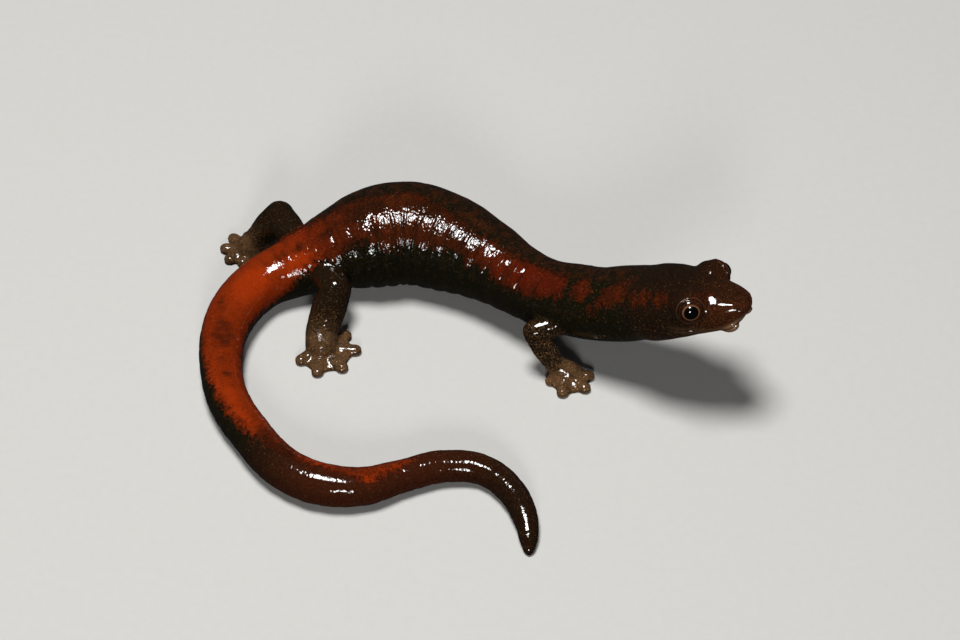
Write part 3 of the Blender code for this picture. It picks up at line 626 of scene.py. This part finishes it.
def face_folds(lie, points):
    """The line of the mouth, lips, nostrils, nasal grooves, the ridge of the snout and the throat's fold."""
    rows = np.array(MOUTH)
    along = np.linspace(rows[0, 0], rows[-1, 0], 200)
    slope = np.interp(lie.behind, along, np.gradient(smooth(rows[:, 0], rows[:, 1], along), along))
    over = (lie.above - smooth(rows[:, 0], rows[:, 1], lie.behind)) * np.cos(np.arctan(slope))
    on_head = 1.0 - ease(lie.behind, 6.0, 7.6)
    moved = on_head * sum(height * bell(over - middle, width) for middle, width, height in LIP_FORMS)
    pale = bell(over - 0.20, 0.24) + bell(over + 0.24, 0.26)
    lips = on_head * pale * (1.0 - 0.8 * ease(lie.behind, 1.6, 3.2))
    # Where painted shade darkens the skin: along the mouth's line, in the nostrils, nasal grooves and throat
    # fold
    hollow = on_head * bell(over, 0.08)
    for hand in (-1, 1):
        nostril = points[np.argmin(away_from(points, on_side(hand, NOSTRIL_PLACE)))]
        away = away_from(points, nostril)
        moved += -NOSTRIL_DEPTH * bell(away, NOSTRIL_RADIUS) + 0.03 * bell(away - 2.0 * NOSTRIL_RADIUS, 0.09)
        hollow += bell(away, NOSTRIL_RADIUS + 0.01)
        distance = beside(points, nostril, on_side(hand, NASAL_GROOVE_END))[1]
        groove = bell(distance, 0.06) * ease(away, 0.14, 0.30)
        moved -= 0.025 * groove
        hollow += 0.4 * groove
        ridge_end = eye_axes(hand)[0] + 1.0 * HEAD_FORWARD + 0.55 * HEAD_UP
        distance = beside(points, nostril + 0.5 * HEAD_UP, ridge_end)[1]
        moved += 0.05 * bell(distance, 0.42)
        for place, width, height in SOFT_FORMS:
            moved += height * bell(away_from(points, on_side(hand, place)), width)
        fold_start, fold_end = [on_side(hand, place) for place in JAW_FOLD]
        moved -= 0.05 * bell(beside(points, fold_start, fold_end)[1], 0.20)
    throat = bell(lie.along - THROAT_FOLD_AT, 0.28) * ease(np.abs(lie.turn), 55.0, 95.0) * (1.0 - lie.limb)
    moved -= 0.02 * throat
    return moved, np.clip(lips, 0.0, 1.0), np.clip(hollow + 0.6 * throat, 0.0, 1.0)


def lids(points):
    """The skin round the eyes shaped into lids, with a fold round them.

    Also how near each point is to the lids' edge and to the fold, and which points are inside them.
    """
    edge = np.zeros(len(points))
    ring = np.zeros(len(points))
    inside = np.zeros(len(points))
    for hand in (-1, 1):
        middle, (gaze, left, up) = eye_axes(hand)
        off = points - middle
        distance = np.linalg.norm(off, axis=1)
        across = np.hypot(off @ left, off @ up) + 1e-9
        sideways = off @ left / across
        upward = off @ up / across
        opening = np.hypot(sideways / LIDS_WIDE, upward / LIDS_HIGH) * np.arctan2(across, off @ gaze)
        near = (distance < 2.4) & (opening < LID_BLEND[1])
        upper = UPPER_LID_HEIGHT * np.clip(upward, 0.0, 1.0) * bell(opening - 1.18, 0.16)
        goal = EYE_RADIUS + table_at(LID_PROFILE, opening) + upper
        length = np.where(near, goal + ease(opening, *LID_BLEND) * (distance - goal), distance)
        fold = bell(opening - OUTER_FOLD, 0.05) - 0.4 * bell(opening - OUTER_FOLD - 0.12, 0.06)
        length = length - np.where(near, OUTER_FOLD_DEPTH * fold, 0.0)
        points = middle + off * (length / distance)[:, None]
        pale_fold = 0.30 * bell(opening - OUTER_FOLD - 0.11, 0.05) * (1.0 - ease(distance, 1.5, 1.7))
        edge = np.maximum(edge, near * np.maximum(bell(opening - 1.03, 0.045), pale_fold))
        # Nearness to the fold round the lids, where painted shade darkens the groove
        ring = np.maximum(ring, near * bell(opening - OUTER_FOLD, 0.08))
        inside = np.maximum(inside, near & (opening < 0.93))
    return points, edge, ring, inside


# Markings, by distance along the spine and angle round it
BAND_LOWER = [(18.4, -36), (20, -46), (22, -50), (24, -57), (26, -60), (27.5, -52), (29, -46),
              (30.2, -57), (32, -41), (34, -50), (36.6, -56), (38.6, -52), (40.7, -58), (42.6, -60),
              (43.8, -43), (45.6, -46), (47, -53), (49, -50), (51.6, -62), (53.5, -88), (56, -100),
              (62, -84), (70, -92), (78, -110), (84, -120), (92, -92), (96, -60), (99, -30)]
BAND_UPPER = [(18.4, -8), (20, 2), (23, 4), (27, 0), (30, -6), (33, -2), (36, 2), (39, 12),
              (42, 10), (44, 16), (47, 24), (50, 40), (54, 70), (58, 92), (62, 78),
              (65.5, 60), (69, 48), (73, 40), (77, 34), (80, 10), (84, -8), (88, 6), (90, 40),
              (93, 16), (96, -20), (99, -60)]
BAND_ENDS = (19.2, 98)
FAR_BAND = [(16, 70), (20, 68), (26, 72), (32, 69), (38, 74), (44, 70), (50, 74), (55, 76)]
FAR_BAND_ENDS = (16, 55)
FAR_BAND_WIDE = 26              # half width of the far side's band, in degrees

# Patches apart from the band: along, round, half length and half width in degrees, and for one that
# leans its lean in degrees a millimetre
NAPE_PATCHES = [(17.3, -24, 1.15, 20), (13.3, -29, 1.9, 20, -6), (10.1, -43, 1.5, 13),
                (7.6, -43, 1, 11), (15.2, -47, 1, 8, -6), (3.5, -32, 0.55, 8),
                (17.8, 64, 1, 16, 6), (13.4, 68, 1.7, 12, 3), (9.2, 68, 1.2, 10)]
BRIGHT_PATCHES = [(51.2, -36, 2.1, 18), (57.6, -18, 2.9, 36), (70.2, 26, 1.8, 14),
                  (72.2, 0, 1.7, 22), (75, 10, 1.8, 20), (89.8, 22, 1, 18),
                  (93.6, -2, 1.8, 22), (84.5, -34, 2.2, 16)]
DARK_PATCHES = [(43.4, -6, 1.7, 11), (47.4, -11, 1, 6), (50.2, -11, 1.6, 6),
                (54.6, -3, 1.6, 7), (64.2, -8, 1.5, 26), (69.8, -9, 1.4, 11),
                (45.2, -46, 0.7, 6), (79.4, 6, 1.4, 30), (61, 20, 1, 12),
                (36.5, -8, 1.6, 9), (32, -14, 1.5, 11), (81.6, -10, 1.2, 18)]
# Values along the body: how red and how orange the band is, how thickly dark mottles lie over it, how much
# painted shade darkens the markings, and how deep the fine wrinkles of the skin are
ALONG = {
    "red": [(0, 0.25), (7, 0.35), (12, 0.45), (16, 0.9), (19, 1), (27, 0.95), (29.5, 0.55), (33, 0.35),
        (42, 0.3), (46, 0.55), (50, 0.9), (60, 1), (78, 0.9), (84, 0.8), (92, 0.7), (97, 0.4)],
    "orange": [(0, 0.3), (5, 0.3), (8, 0.25), (13, 0.25), (16, 0.36), (18.5, 0.3), (20, 0.1), (28, 0.1),
        (31, 0.12), (38, 0.16), (44, 0.18), (48, 0.36), (51, 0.58), (56, 0.82), (60, 0.8), (64, 0.55),
        (68, 0.66), (73, 0.85), (76, 0.7), (79, 0.35), (83, 0.3), (88, 0.42), (93, 0.5), (97, 0.1)],
    "mottle": [(0, 0.5), (12, 0.5), (18, 0.42), (22, 0.36), (27, 0.4), (30, 0.56), (40, 0.54), (45, 0.46),
        (50, 0.36), (54, 0.3), (60, 0.25), (64, 0.34), (70, 0.3), (76, 0.36), (80, 0.5), (88, 0.42),
        (95, 0.5), (114, 0.55)],
    # painted shade: the markings darkened along the body, most on the nape
    "deep": [(0, 0.46), (10, 0.48), (14, 0.56), (18, 0.48), (19.5, 0.27), (23, 0.05), (29, 0.05),
        (32, 0.25), (43, 0.3), (47, 0.34), (50, 0.06), (56, 0.02), (61, 0.14), (68, 0.1), (74, 0.14),
        (82, 0.14)],
    "wrinkled": [(0, 0.1), (4, 0.06), (8, 0.06), (12, 0.18), (16, 0.3), (24, 0.45), (28, 1), (49, 1),
        (55, 0.28), (66, 0.2), (82, 0.26), (96, 0.4), (114, 0.4)],
}


def inside_patches(lie, patches):
    """How far inside the nearest patch a point lies, in millimetres, and less than zero outside."""
    inside = np.full(len(lie.along), -9.0)
    for along, turn, length, width, *lean in patches:
        off = lie.along - along
        width_mm = np.radians(width) * lie.radius
        across = (lie.turn - turn - sum(lean) * off) * np.radians(1.0) * lie.radius
        reach = np.hypot(off / length, across / width_mm)
        inside = np.maximum(inside, (1.0 - reach) * np.minimum(length, width_mm))
    return inside


def within(lie, ends):
    """How far inside two ends along the body a point lies, and less than zero outside."""
    return np.minimum(lie.along - ends[0], ends[1] - lie.along)


def marking_values(lie):
    """The values that the skin's material reads: where the band and its patches lie, and their hue."""
    along = lie.along
    turn = np.abs(lie.turn)
    degree = np.radians(1.0) * lie.radius
    lower = (lie.turn - table_at(BAND_LOWER, along)) * degree
    upper = (table_at(BAND_UPPER, along) - lie.turn) * degree
    near = np.minimum(np.minimum(lower, upper), within(lie, BAND_ENDS))
    far = (FAR_BAND_WIDE - np.abs(lie.turn - table_at(FAR_BAND, along))) * degree
    far = np.minimum(far, within(lie, FAR_BAND_ENDS))
    band = np.maximum(np.maximum(near, far), inside_patches(lie, NAPE_PATCHES))
    off_limb = 1.0 - lie.limb
    maroon = ease(along, 76.0, 86.0) * (1.0 - 0.85 * ease(along, 95.0, 107.0))
    bright = np.clip(0.5 + inside_patches(lie, BRIGHT_PATCHES), 0.0, 1.0)
    dark = np.clip(0.5 + inside_patches(lie, DARK_PATCHES), 0.0, 1.0)
    head = 1.0 - ease(along, 9.0, 14.0)
    cheek = head * ease(turn, 70.0, 110.0)
    snout = (1.0 - ease(along, 1.0, 6.5)) * (0.5 + 0.5 * ease(turn, 15.0, 60.0))
    foot = lie.limb * np.clip(ease(lie.down_limb, 1.4, 3.0) + 0.4 * lie.foot, 0.0, 1.0)
    hind = ease(along, 36.0, 42.0)
    thigh = hind * (1.0 - ease(lie.down_limb, 1.2, 1.9))
    low_limb = lie.limb * (0.42 + 0.60 * ease(lie.down_limb, 0.6, 1.6)) * (1.0 - 0.60 * hind - 0.35 * thigh)
    on_top = ease(-upper, -0.3, 0.6) * (1.0 - ease(lie.turn, 82.0, 108.0))
    speckled = 0.12 + 0.15 * head + 0.35 * cheek + 0.6 * snout + 0.75 * low_limb + 0.4 * foot
    values = {name: table_at(table, along) for name, table in ALONG.items()}
    values["mottle"] += 0.38 * dark - 0.35 * bright
    values["wrinkled"] = values["wrinkled"] * off_limb + 0.38 * lie.limb
    return values | {
        "band": np.where(lie.limb > 0.5, -3.0, band),
        "bright": bright * off_limb,
        "limb": lie.limb,
        "foot": foot,
        "head": head,
        "snout": snout,
        "on_top": on_top * ease(along, 9.0, 14.0) * (1.0 - ease(along, 56.0, 62.0)),
        "belly": ease(turn, 125.0, 160.0) * off_limb,
        "tail_end": ease(along, 72.0, 94.0),
        "maroon": maroon * (0.35 + 0.65 * ease(lie.turn, -120.0, -20.0)),
        "speckled": np.clip(speckled, 0.0, 1.0),
    }


def finished(name, mesh, values):
    """The object of a mesh, smooth, in metres and in place, with the values that its material reads."""
    for key, value in values.items():
        kind, part = ("FLOAT_VECTOR", "vector") if value.ndim == 2 else ("FLOAT", "value")
        attribute = mesh.attributes.new(key, kind, "POINT")
        attribute.data.foreach_set(part, value.astype(np.float32).ravel())
    move_points(mesh, (points_of(mesh) + PLACE) * MM)
    mesh.shade_smooth()
    return placed(name, mesh)


def at_joins(points, lie):
    """How much more the skin is smoothed where limbs, wrists, brows and nasal swellings join it."""
    heavy = bell(lie.out, 0.55) * bell(lie.limb_out, 0.55)
    heavy += 0.7 * (1.0 - ease(lie.along, 8.0, 9.5)) * ease(lie.above, -0.8, 0.2)
    nose = np.minimum(*[away_from(points, on_side(hand, NASAL_SWELLING)) for hand in (-1, 1)])
    wrist = np.min([away_from(points, np.array(joints[2][:3])) for joints in LIMBS.values()], axis=0)
    heavy += 0.6 * (1.0 - ease(nose, 0.9, 1.6)) + 0.9 * (1.0 - ease(wrist, 1.3, 2.4))
    return np.clip(heavy, 0.0, 1.0)


def surface_forms(points, lie, open_skin):
    """How far folds, lumps and creases lift the skin, and how near it is to lips and to hollows that get
    painted shade.
    """
    folds, hollow = trunk_folds(lie)
    face, lips, face_hollow = face_folds(lie, points)
    lumps = sum(height * rough(points, size, shift) for size, shift, height in LUMPS)
    wrist = lie.limb * (bell(lie.down_limb - 2.0, 0.5) + bell(lie.down_limb - 1.0, 0.25))
    down = np.column_stack([lie.down_limb * 4.0, points[:, 0], points[:, 1]])
    creases = WRINKLE_DEPTH * wrist * np.abs(rough(down, (0.3, 2.0, 2.0), 6.6))
    lifted = folds * (1.0 - lie.limb) + (face + lumps * (1.0 - 0.6 * lie.foot)) * open_skin - creases
    return lifted, lips * open_skin, hollow * (1.0 - lie.limb) + face_hollow


def make_skin():
    """The whole skin: one closed surface from the snout to the tips of the toes and the tail."""
    shells = [body_shell()] + head_shells()
    for limb in LIMBS:
        shells += limb_shells(limb)
    mesh = remeshed(shells)
    points = relaxed(points_of(mesh), edges_of(mesh), SMOOTHING * 9)
    heavy = at_joins(points, Lie(points))
    points = relaxed(points, edges_of(mesh), [0.5 * heavy] * JOIN_ROUNDS)
    move_points(mesh, points)
    split_faces(mesh, -(points - SNOUT_TIP) @ HEAD_FORWARD < FINE_HEAD)
    points = points_of(mesh)
    from_eye = np.minimum(*[away_from(points, eye_axes(hand)[0]) for hand in (-1, 1)])
    split_faces(mesh, from_eye < FINE_EYE)
    points = relaxed(points_of(mesh), edges_of(mesh), SMOOTHING * 4)
    points, edge, ring, inside = lids(points)
    move_points(mesh, points)
    lie = Lie(points)
    lifted, lips, hollow = surface_forms(points, lie, 1.0 - np.clip(edge + ring + inside, 0.0, 1.0))
    points = points + lifted[:, None] * normals_of(mesh)
    points[:, 2] = np.where(points[:, 2] < RESTING, 0.0, points[:, 2])
    move_points(mesh, points)
    values = marking_values(lie)
    values["lip"] = lips
    values["lid_edge"] = edge
    # Painted shade in the grooves, wrinkles, mouth, nostrils, throat fold and the fold round the lids
    values["hollow"] = np.clip(hollow + 0.8 * ring, 0.0, 1.0)
    values["lie"] = lie.flat
    return finished("skin", mesh, values)


def make_eyeball(name, hand):
    """An eyeball with a slightly domed cornea, and how near each point is to the edge of the lids."""
    middle, (gaze, left, up) = eye_axes(hand)
    angles = angles_round(EYE_SIDES)
    rings = []
    edges = []
    for turn in np.radians(np.append(np.linspace(0.5, 75.0, 60), np.linspace(80.0, 179.0, 16))):
        radius = EYE_RADIUS + CORNEA_RISE * ease(math.cos(turn), math.cos(CORNEA_WIDE), 1.0)
        wide = radius * math.sin(turn)
        rings.append(round_section(middle + radius * math.cos(turn) * gaze, left, up, wide, wide, EYE_SIDES))
        edges.append(turn * np.hypot(np.cos(angles) / LIDS_WIDE, np.sin(angles) / LIDS_HIGH))
    points, faces = tube(rings)
    mesh = mesh_of(name, points, faces)
    turn_faces_out(mesh)
    return finished(name, mesh, {"opening": np.append(np.concatenate(edges), [0.0, 9.0])})


def linear(colour):
    """An sRGB hex colour as linear red, green, blue and alpha."""
    parts = [int(colour[i:i + 2], 16) / 255.0 for i in (1, 3, 5)]
    return tuple(c / 12.92 if c <= 0.04045 else ((c + 0.055) / 1.055) ** 2.4 for c in parts) + (1.0,)


def add(tree, kind, settings, inputs, output=0):
    """Adds a node with its settings, sets or links its inputs, and gives back one of its outputs."""
    node = tree.nodes.new("ShaderNode" + kind)
    for name, value in settings.items():
        setattr(node, name, value)
    for name, value in inputs.items():
        if isinstance(value, bpy.types.NodeSocket):
            tree.links.new(value, node.inputs[name])
        else:
            node.inputs[name].default_value = value
    return node.outputs[output]


def new_material(name, finish):
    """A material with its finish set on the shader's own sockets, its tree and the shader's inputs."""
    material = bpy.data.materials.new(name)
    material.use_nodes = True
    shader = material.node_tree.nodes["Principled BSDF"].inputs
    for socket, value in finish.items():
        shader[socket].default_value = value
    return material, material.node_tree, shader


def ragged(tree, value, limits, most=1.0, noises=()):
    """A share from 0 to a most that rises with a value between its limits, broken up by noises."""
    for noise, strength in noises:
        value = add(tree, "Math", {"operation": "MULTIPLY_ADD"}, {0: noise, 1: strength, 2: value})
    return add(tree, "MapRange", {"interpolation_type": "SMOOTHSTEP"}, {
        "Value": value, "From Min": limits[0], "From Max": limits[1], "To Max": most})


def painted(tree, colour, coats):
    """A colour with coats of other colours laid over it, each by its own share."""
    for share, coat in coats:
        colour = add(tree, "Mix", {"data_type": "RGBA"}, {0: share, 6: colour, 7: coat}, 2)
    return colour


# Colours of the skin, the eyes and the board
FLANK = linear("#0d0d05")       # near-black olive
BELLY = linear("#1c1a10")
BACK_DARK = linear("#140e07")
BACK_BROWN = linear("#2e1507")
BAND_BROWN = linear("#3d1a06")
BAND_RED = linear("#4f1203")
BAND_ORANGE = linear("#7e2604")
BRIGHT_ORANGE = linear("#962d04")
MOTTLE_BROWN = linear("#1c0c04")
EDGE_RED = linear("#2f0e03")
TAIL_CHOCOLATE = linear("#140d06")
MAROON = linear("#341508")
HEAD_BROWN = linear("#160e07")
SNOUT_BROWN = linear("#341608")
SNOUT_SPECK = linear("#6e4628")
LIP_PINK = linear("#85674c")
LIMB_BROWN = linear("#1a1007")
FOOT_BROWN = linear("#4f3824")
SPECK = linear("#93704a")
COPPER = linear("#9c6a4a")
EYE_BLACK = linear("#040302")
IRIS_BROWN = linear("#150c07")
BOARD_GREY = linear("#c2c1bd")
BOARD_PALE = linear("#c7c6c2")

# Patterns of the skin: size round and along the body in millimetres, shift and detail
SKIN_PATTERNS = {
    "ragged": (0.90, 0.55, 0.0, 5.0),
    "blots": (2.00, 1.00, 4.7, 4.0),
    "back": (1.40, 0.80, 9.1, 4.0),
    "wrinkle": (1.50, 0.36, 2.9, 1.5),
}
EVEN_PATTERNS = {"grains": 0.18, "clouds": 1.10}    # their size in millimetres
SPECK_SPACING = 0.34 * MM
GLAND_SPACING = 0.32 * MM
IRIS_FLECK = 0.12 * MM
BOARD_TOOTH = 0.8 * MM


def wet_skin():
    """Moist skin of an amphibian: smooth, thin and full of glands, under a film of water.
    The eye sees deep pigment, fine pale specks and sharp lights broken by wrinkles and glands."""
    material, tree, shader = new_material("wet_skin", {
        "Roughness": 0.50, "Specular IOR Level": 0.0, "IOR": 1.40, "Coat Weight": 1.0, "Coat Roughness": 0.07,
        "Coat IOR": 1.52, "Subsurface Weight": 0.12, "Subsurface Radius": (1.0, 0.35, 0.2),
        "Subsurface Scale": 0.35 * MM})
    times = {"operation": "MULTIPLY"}
    names = ("band bright mottle red orange limb foot head snout on_top belly tail_end maroon deep speckled "
             "wrinkled lip lid_edge hollow")
    value = {name: add(tree, "Attribute", {"attribute_name": name}, {}, "Fac") for name in names.split()}
    lie = add(tree, "Attribute", {"attribute_name": "lie"}, {}, "Vector")
    place = add(tree, "TexCoord", {}, {}, "Object")
    noise = {}
    for name, (around, along, shift, detail) in SKIN_PATTERNS.items():
        spread = add(tree, "Mapping", {}, {
            "Vector": lie, "Scale": (1.0 / along, 1.0 / around, 1.0), "Location": (shift, shift, 0.0)})
        noise[name] = add(tree, "TexNoise", {}, {
            "Vector": spread, "Scale": 1.0, "Detail": detail, "Roughness": 0.64})
    for name, size in EVEN_PATTERNS.items():
        noise[name] = add(tree, "TexNoise", {}, {
            "Vector": place, "Scale": 1.0 / (size * MM), "Detail": 3.0, "Roughness": 0.6})
    torn = noise["ragged"]
    grains = noise["grains"]

    # The band: ragged edges, a ground of brown or red, speckled orange, dark mottles and reddish margins
    in_band = ragged(tree, value["band"], (1.80, 2.45), 1.0, [(torn, 3.0), (grains, 1.2)])
    margin = ragged(tree, value["band"], (3.1, 2.0), 0.8, [(torn, 3.0), (grains, 1.2)])
    glow = ragged(tree, value["orange"], (1.10, 1.85), 1.0, [(grains, 1.3), (torn, 0.8)])
    bright = ragged(tree, value["bright"], (1.50, 2.35), 0.8, [(torn, 1.6), (grains, 0.9)])
    mottle = ragged(tree, value["mottle"], (1.42, 2.05), 0.8, [(noise["blots"], 1.5), (grains, 0.8)])
    # The last coat, deep, is painted shade: the markings darkened along the body, most on the nape
    markings = painted(tree, BAND_BROWN, [
        (value["red"], BAND_RED), (glow, BAND_ORANGE), (bright, BRIGHT_ORANGE), (mottle, MOTTLE_BROWN),
        (margin, EDGE_RED), (value["deep"], MOTTLE_BROWN)])

    # The ground: dark flanks, a mottled back, a brown head and a chocolate tip of the tail
    back = painted(tree, BACK_DARK, [(ragged(tree, noise["back"], (0.42, 0.62)), BACK_BROWN)])
    face = painted(tree, HEAD_BROWN, [(value["snout"], SNOUT_BROWN)])
    ground = painted(tree, FLANK, [
        (value["belly"], BELLY), (value["on_top"], back), (value["tail_end"], TAIL_CHOCOLATE),
        (value["maroon"], MAROON), (value["head"], face)])
    shade = ragged(tree, noise["clouds"], (0.45, 0.70), 0.55)
    limb = painted(tree, LIMB_BROWN, [(value["foot"], FOOT_BROWN), (shade, BACK_DARK)])

    # Fine pale specks, thickest on the snout and the limbs, pale lips, copper lid edges and painted shade in
    # creases
    speck = painted(tree, SPECK, [(value["head"], SNOUT_SPECK)])
    dust = add(tree, "Math", times, {0: ragged(tree, grains, (0.46, 0.66)), 1: value["speckled"]})
    cell = add(tree, "TexVoronoi", {"feature": "F1"}, {
        "Vector": place, "Scale": 1.0 / SPECK_SPACING}, "Distance")
    dot = add(tree, "Math", times, {0: ragged(tree, cell, (0.36, 0.14)), 1: dust})
    thin = {name: add(tree, "Math", times, {0: share, 1: most}) for name, share, most in (
        ("dust", dust, 0.35), ("lip", value["lip"], 0.6), ("lid", value["lid_edge"], 0.6),
        ("crease_shade", value["hollow"], 0.5))}
    # The last coat darkens grooves, wrinkles, the mouth's line, nostrils, throat fold and lid fold: painted
    # shade
    colour = painted(tree, ground, [
        (in_band, markings), (value["limb"], limb), (thin["dust"], speck), (dot, speck),
        (thin["lip"], LIP_PINK), (thin["lid"], COPPER), (thin["crease_shade"], FLANK)])
    tree.links.new(colour, shader["Base Color"])

    # The skin's relief: glands, grains and wrinkles
    gland = add(tree, "TexVoronoi", {"feature": "SMOOTH_F1"}, {
        "Vector": place, "Scale": 1.0 / GLAND_SPACING, "Smoothness": 0.5}, "Distance")
    height = noise["wrinkle"]
    for relief, strength in ((gland, -0.50), (grains, 0.12)):
        height = add(tree, "Math", {"operation": "MULTIPLY_ADD"}, {0: relief, 1: strength, 2: height})
    height = add(tree, "Math", times, {0: height, 1: value["wrinkled"]})
    bump = add(tree, "Bump", {}, {"Height": height, "Strength": 0.8, "Distance": 0.10 * MM})
    tree.links.new(bump, shader["Normal"])
    tree.links.new(bump, shader["Coat Normal"])
    return material


def wet_cornea():
    """The clear, wet cornea over a dark iris: the eye sees black with a thin copper rim."""
    material, tree, shader = new_material("wet_cornea", {
        "Roughness": 0.30, "Specular IOR Level": 0.0, "IOR": 1.38, "Coat Weight": 1.0, "Coat Roughness": 0.03,
        "Coat IOR": 1.60})
    place = add(tree, "TexCoord", {}, {}, "Object")
    flecks = add(tree, "TexNoise", {}, {"Vector": place, "Scale": 1.0 / IRIS_FLECK, "Detail": 3.0})
    opening = add(tree, "Attribute", {"attribute_name": "opening"}, {}, "Fac")
    fleck = ragged(tree, flecks, (0.52, 0.78), 0.4)
    rim = ragged(tree, opening, (0.90, 0.98), 0.7, [(flecks, 0.06)])
    colour = painted(tree, EYE_BLACK, [(fleck, IRIS_BROWN), (rim, COPPER)])
    tree.links.new(colour, shader["Base Color"])
    return material


def matt_board():
    """A matt, pale grey board to stand on: the eye sees an even tone with a faint tooth."""
    material, tree, shader = new_material("matt_board", {"Roughness": 0.9, "Specular IOR Level": 0.1})
    place = add(tree, "TexCoord", {}, {}, "Object")
    tooth = add(tree, "TexNoise", {}, {"Vector": place, "Scale": 1.0 / BOARD_TOOTH, "Detail": 3.0})
    colour = painted(tree, BOARD_GREY, [(tooth, BOARD_PALE)])
    tree.links.new(colour, shader["Base Color"])
    return material


def make_floor():
    corners = np.array([(-1, -1, 0), (1, -1, 0), (1, 1, 0), (-1, 1, 0)]) * FLOOR_REACH
    mesh = mesh_of("floor", (corners + [0.0, 0.0, FLOOR_HEIGHT]) * MM, [(0, 1, 2, 3)])
    mesh.materials.append(matt_board())
    floor = placed("floor", mesh)
    floor.visible_glossy = False    # the wet skin mirrors the room over it, not the board under it


def softbox(name, direction, size, power):
    """A round light that faces the animal from a direction, its size in millimetres, its power in watts."""
    light = bpy.data.lights.new(name, "AREA")
    light.shape = "DISK"
    light.size = size * MM
    light.energy = power
    way = unit(np.array(direction, float))
    made = placed(name, light)
    made.location = Vector((way * LIGHT_DISTANCE + LIT_PLACE) * MM)
    made.rotation_euler = Vector(-way).to_track_quat("-Z", "Y").to_euler()


def make_lights():
    """Plain, soft studio light: one lamp overhead, a low one in front and a faint, pale room."""
    softbox("overhead", (-0.12, 0.05, 0.99), 145.0, 1.95)
    softbox("low_front", (0.0, -0.92, 0.40), 100.0, 0.65)
    world = bpy.data.worlds.new("pale_room")
    bpy.context.scene.world = world
    world.use_nodes = True
    background = world.node_tree.nodes["Background"]
    background.inputs["Color"].default_value = (0.93, 0.95, 1.0, 1.0)
    background.inputs["Strength"].default_value = 0.02


def make_camera():
    camera = bpy.data.cameras.new("camera")
    camera.lens = CAMERA_LENS
    camera.sensor_width = SENSOR
    camera.clip_start = 0.01
    camera.clip_end = 20.0
    made = placed("camera", camera)
    back = np.array([0.0, -math.cos(CAMERA_ELEVATION), math.sin(CAMERA_ELEVATION)])
    made.location = Vector((PLACE + CAMERA_DISTANCE * back) * MM)
    made.rotation_euler = (math.pi / 2 - CAMERA_ELEVATION, 0.0, 0.0)
    bpy.context.scene.camera = made


def main():
    make_camera()
    make_lights()
    make_floor()
    skin = make_skin()
    skin.data.materials.append(wet_skin())
    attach(skin, "root")
    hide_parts(*FLESH)
    cornea = wet_cornea()
    for hand, side in ((1, "left"), (-1, "right")):
        eyeball = make_eyeball("eyeball_" + side, hand)
        eyeball.data.materials.append(cornea)
        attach(eyeball, "root")
        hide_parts("eye_" + side)
    bpy.context.scene.view_settings.view_transform = "Standard"


main()
